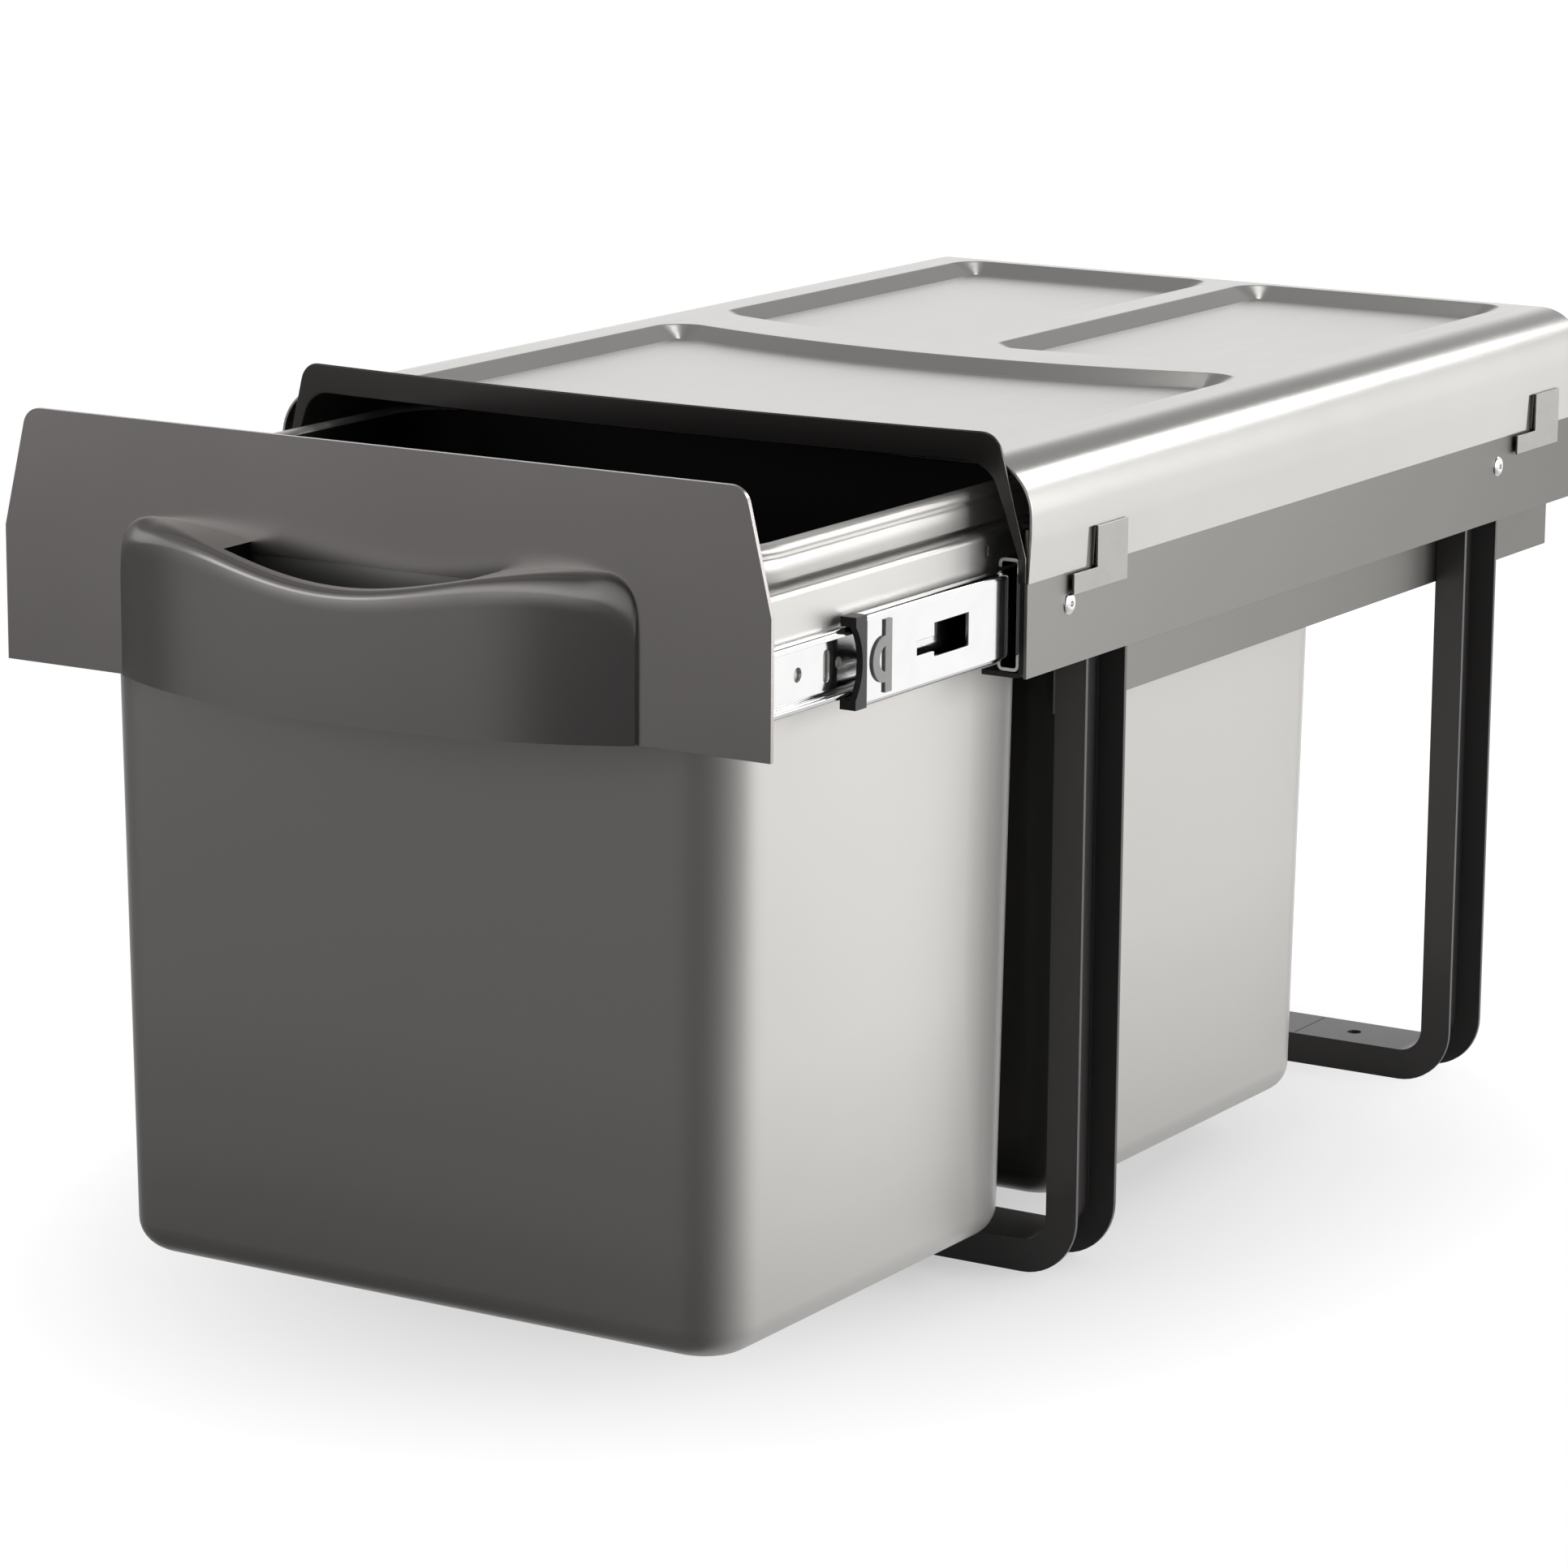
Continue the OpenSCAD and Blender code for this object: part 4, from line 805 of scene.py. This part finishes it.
def grip_ring(x, in_pocket):
    """The grip's closed section at x: face, rolled lip, pocket wall, floor, shell and back."""
    crest, out, back = grip_top(x), grip_high.y - grip_depth(x), grip_high.y
    deep = back - out
    tall = min(3.2 * MM + 9 * MM * (abs(x) / grip_half) ** 3, crest - grip_low.z - 4 * MM)
    to_end = max(0, (abs(x) - pocket_half) / (grip_half - pocket_half))
    roll = min(lip_deep * 0.55 + 9 * MM * to_end, deep * 0.95)
    shoulder = crest - tall
    points = [(out, grip_low.z + (shoulder - grip_low.z) * share)
              for share in (0, 0.03, 0.15, 0.35, 0.55, 0.75, 0.9, 1)]
    points += [(out + roll * (1 - math.cos(a)), shoulder + tall * math.sin(a))
               for a in np.radians(np.linspace(15, 90, 7))]
    behind = min(out + lip_deep, back) if in_pocket else back
    inner = min(out + grip_wall, back) if in_pocket else back
    points += [(behind, crest), (behind, crest - lip_drop), (inner, shoulder - 1 * MM)]
    through, skin, head = (shell_deep, shell_skin, shell_high) if in_pocket else (0, 0, shell_low)
    points += [(inner, grip_low.z + grip_wall), (back, grip_low.z + grip_wall), (back, shell_low)]
    points += [(back + through, shell_low), (back + through, head), (back + through + skin, head)]
    points += [(back + through + skin, shell_low - shell_floor), (back, shell_low - shell_floor)]
    return points + [(back, grip_low.z)]


bm = bmesh.new()
ends = [grip_half - grip_corner * (1 - math.sin(a)) for a in np.radians(np.linspace(90, 0, 11))]
ends += list(np.linspace(grip_half - grip_corner, pocket_half, 14)[1:])
half = [(x, False) for x in ends] + [(x, True) for x in np.linspace(pocket_half - 0.3 * MM, 0, 25)]
across = [(-x, in_pocket) for x, in_pocket in half] + list(reversed(half))[1:]
grid = [[bm.verts.new((x, y, z)) for y, z in grip_ring(min(max(x, -grip_half), grip_half), in_pocket)]
        for x, in_pocket in across]
for a, b in zip(grid, grid[1:]):
    strip_faces(bm, a, b, True)
bm.faces.new(grid[0])
bm.faces.new(list(reversed(grid[-1])))
bmesh.ops.remove_doubles(bm, verts=bm.verts, dist=0.002 * MM)
bmesh.ops.recalc_face_normals(bm, faces=bm.faces)
grip = piece("grip_moulding", bm, moulded, angle=38)
grip.data.materials.append(pocket_shade.material)
# The pocket's faces behind the lip take the painted near black shade.
for face in grip.data.polygons:
    at = face.center
    behind_lip = at.y > grip_high.y - grip_depth(at.x) + 2.5 * MM and at.z < grip_top(at.x) - 1.2 * MM
    if abs(at.x) < pocket_half and behind_lip:
        face.material_index = 1
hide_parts("grip")
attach(grip, "drawer")


# Bins: injection moulded in silver grey plastic, drafted, with round corners and an outward rim
# that hangs on the drawer's frame. One wide bin at the front and two narrow ones behind it. Inside
# they are painted near black from the rim down, a painted shade.
bin_wall, bin_rim, bin_draft, bin_foot, bin_collar = 2 * MM, 6 * MM, 4.5 * MM, 13 * MM, 14 * MM
lip_r, foot_tall, foot_r = 2.4 * MM, 1.8 * MM, 12 * MM
bin_silver = Finish("bin_plastic", "bin_plastic", Metallic=0.42)
fleck = bin_silver.noise(2400, 2, 0.6)
flow = bin_silver.noise(5, 2, 0.5)
# Painted light and shade: the sides are painted paler than the front, as if lit from the right. The
# colour is painted darker towards the floor, beside the front hoop, and on the rear bins' front walls in the
# gap behind the front bin.
front_wall, front_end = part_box("front_bin")[0].y + bin_rim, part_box("front_bin")[1].y - 1 * MM
gap_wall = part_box("rear_bin_right")[0].y + bin_rim
from_front, from_floor = bin_silver.part(bin_silver.place, "Y"), bin_silver.part(bin_silver.place, "Z")
# Painted shade: the rear bins' front walls in the gap behind the front bin are painted dark.
gap_painted_shade = (bin_silver.fit(from_front, front_end - 1 * MM, front_end, 0.0, 1.0)
          * bin_silver.fit(from_front, gap_wall + 8 * MM, gap_wall + 20 * MM, 1.0, 0.0))
# Painted light: the side walls are painted paler than the front walls, less so on the rear bins.
painted_side_light = ((bin_silver.fit(from_front, front_wall + 4 * MM, front_wall + 30 * MM, 0.0, 0.6)
          + bin_silver.fit(from_front, front_wall + 30 * MM, front_end, 0.0, 0.4))
         * bin_silver.fit(from_front, front_end, gap_wall, 1.0, 0.15))
# Painted shade: darker towards the floor.
floor_painted_shade = bin_silver.fit(from_floor, 0.02, 0.13, 0.24, 0.0)
# Painted shade: the front bin's rear end, beside the front hoop, is painted darker.
hoop_painted_shade = (bin_silver.fit(from_front, front_end - 60 * MM, front_end - 42 * MM, 0.0, 0.28)
             * bin_silver.fit(from_front, front_end, gap_wall, 1.0, 0.0))
# Pale painted sides against the darker front colour, with a little random flow.
side_lit_colour = bin_silver.blend(painted_side_light * 0.9 + flow * 0.1, (0.560, 0.545, 0.526, 1), (0.80, 0.779, 0.751, 1))
# The strongest of the painted shades pulls the colour towards near black.
painted_shade_mask = gap_painted_shade.most(floor_painted_shade).most(hoop_painted_shade)
bin_silver.feed("Base Color", bin_silver.blend(painted_shade_mask, side_lit_colour, (0.05, 0.049, 0.047, 1)))
bin_silver.feed("Roughness", 0.34 + fleck * 0.05)
bin_silver.bump(fleck, 0.01 * MM, 0.3)
# Painted shade: the inner walls and floors are painted near black, darker further down.
bin_inside_shade = Finish("bin_inside_shade", "bin_plastic", Metallic=0.0, Specular_IOR_Level=0.12)
inside_shade = bin_inside_shade.fit(bin_inside_shade.part(bin_inside_shade.place, "Z"), 0.27, 0.33, 0.004, 0.03)
bin_inside_shade.feed("Base Color", bin_inside_shade.colour(inside_shade, inside_shade * 0.97, inside_shade * 0.94))
bin_inside_shade.feed("Roughness", 0.5 + bin_inside_shade.noise(900) * 0.05)


def rounded(x0, x1, y0, y1, r, steps=12):
    """A rectangle with round corners, counter-clockwise."""
    found = []
    for cx, cy, start in ((x1 - r, y0 + r, -90), (x1 - r, y1 - r, 0),
                          (x0 + r, y1 - r, 90), (x0 + r, y0 + r, 180)):
        found += [(cx + r * math.cos(a), cy + r * math.sin(a))
                  for a in np.radians(np.linspace(start, start + 90, steps))]
    return found


def bin_profile(z0, z1):
    """The wall's section from the bottom up the outside, over the rim and down the inside. Each
    point is how far it stands out from the wall's upper line, and its height."""
    under, straight = z1 - bin_collar, z1 - z0 - bin_foot
    foot_in = bin_foot - bin_wall
    found = [(-bin_draft - bin_foot * (1 - math.cos(a)), z0 + bin_foot * (1 + math.sin(a)))
             for a in np.radians(np.linspace(-90, 0, 9))]
    found += [(-bin_draft * (1 - share), z0 + bin_foot + (straight - bin_collar) * share)
              for share in np.linspace(0.12, 1, 8)]
    found += [(0.2 * MM, under + 5 * MM), (bin_rim - 2 * MM, under + 6.5 * MM)]
    found += [(bin_rim - inset, under + rise) for inset, rise in (
        (1.6 * MM, 6.2 * MM), (1.4 * MM, 0), (0.5 * MM, -0.2 * MM), (0, 0.4 * MM))]
    # the groove below the rim's upper edge
    found += [(bin_rim - inset, z1 - drop) for inset, drop in (
        (0, 6.2 * MM), (0.4 * MM, 5.4 * MM), (1.3 * MM, 5.1 * MM), (1.3 * MM, 3.9 * MM), (0.3 * MM, 3.6 * MM),
        (0, 3.2 * MM))]
    found += [(bin_rim - lip_r * (1 - math.cos(a)), z1 - lip_r * (1 - math.sin(a)))
              for a in np.radians(np.linspace(0, 90, 7))]
    found += [(-bin_wall + lip_r * (1 + math.cos(a)), z1 - lip_r * (1 - math.sin(a)))
              for a in np.radians(np.linspace(90, 180, 5))]
    found += [(-bin_wall - bin_draft * (1 - share), z0 + bin_foot + (straight - lip_r) * share)
              for share in np.linspace(0.9, 0, 8)]
    return found + [(-bin_wall - bin_draft - foot_in * (1 - math.cos(a)), z0 + bin_foot + foot_in * math.sin(a))
                    for a in np.radians(np.linspace(0, -90, 8))]


for node, corner in (("front_bin", 28 * MM), ("rear_bin_left", 25.2 * MM), ("rear_bin_right", 25.2 * MM)):
    low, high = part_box(node)
    x0, x1, y0, y1 = low.x + bin_rim, high.x - bin_rim, low.y + bin_rim, high.y - bin_rim
    z0, z1 = low.z + foot_tall, high.z
    bm = bmesh.new()
    rings = [[bm.verts.new((x, y, z)) for x, y in rounded(x0 - out, x1 + out, y0 - out, y1 + out, corner + out)]
             for out, z in bin_profile(z0, z1)]
    for a, b in zip(rings, rings[1:]):
        strip_faces(bm, a, b, True)
    bm.faces.new(list(reversed(rings[0])))
    bm.faces.new(rings[-1])
    for cx in (x0 + corner + 8 * MM, x1 - corner - 8 * MM):
        for cy in (y0 + 44 * MM, y1 - 44 * MM):
            foot = [[bm.verts.new((cx + r * math.cos(a), cy + r * math.sin(a), z))
                     for a in np.linspace(0, 2 * math.pi, 36, endpoint=False)]
                    for r, z in ((foot_r, z0 + 0.3 * MM), (foot_r, low.z + 0.5 * MM),
                                 (foot_r - 0.5 * MM, low.z))]
            for a, b in zip(foot, foot[1:]):
                strip_faces(bm, a, b, True)
            bm.faces.new(foot[-1])
            bm.faces.new(foot[0])
    bmesh.ops.recalc_face_normals(bm, faces=bm.faces)
    bin_piece = piece(node + "_moulding", bm, bin_silver, angle=45)
    bin_piece.data.materials.append(bin_inside_shade.material)
    # Inner walls and floors below the rim take the painted inside shade.
    for face in bin_piece.data.polygons:
        at, way = face.center, face.normal
        within = x0 - bin_wall < at.x < x1 + bin_wall and y0 - bin_wall < at.y < y1 + bin_wall
        inward = way.x * (at.x - (x0 + x1) / 2) + way.y * (at.y - (y0 + y1) / 2) < 0 and abs(way.z) < 0.9
        on_bottom = way.z > 0.5 and at.z < z0 + 30 * MM
        if within and at.z < z1 - 1.5 * MM and (inward or on_bottom):
            face.material_index = 1
    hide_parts(node)
    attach(bin_piece, "drawer")
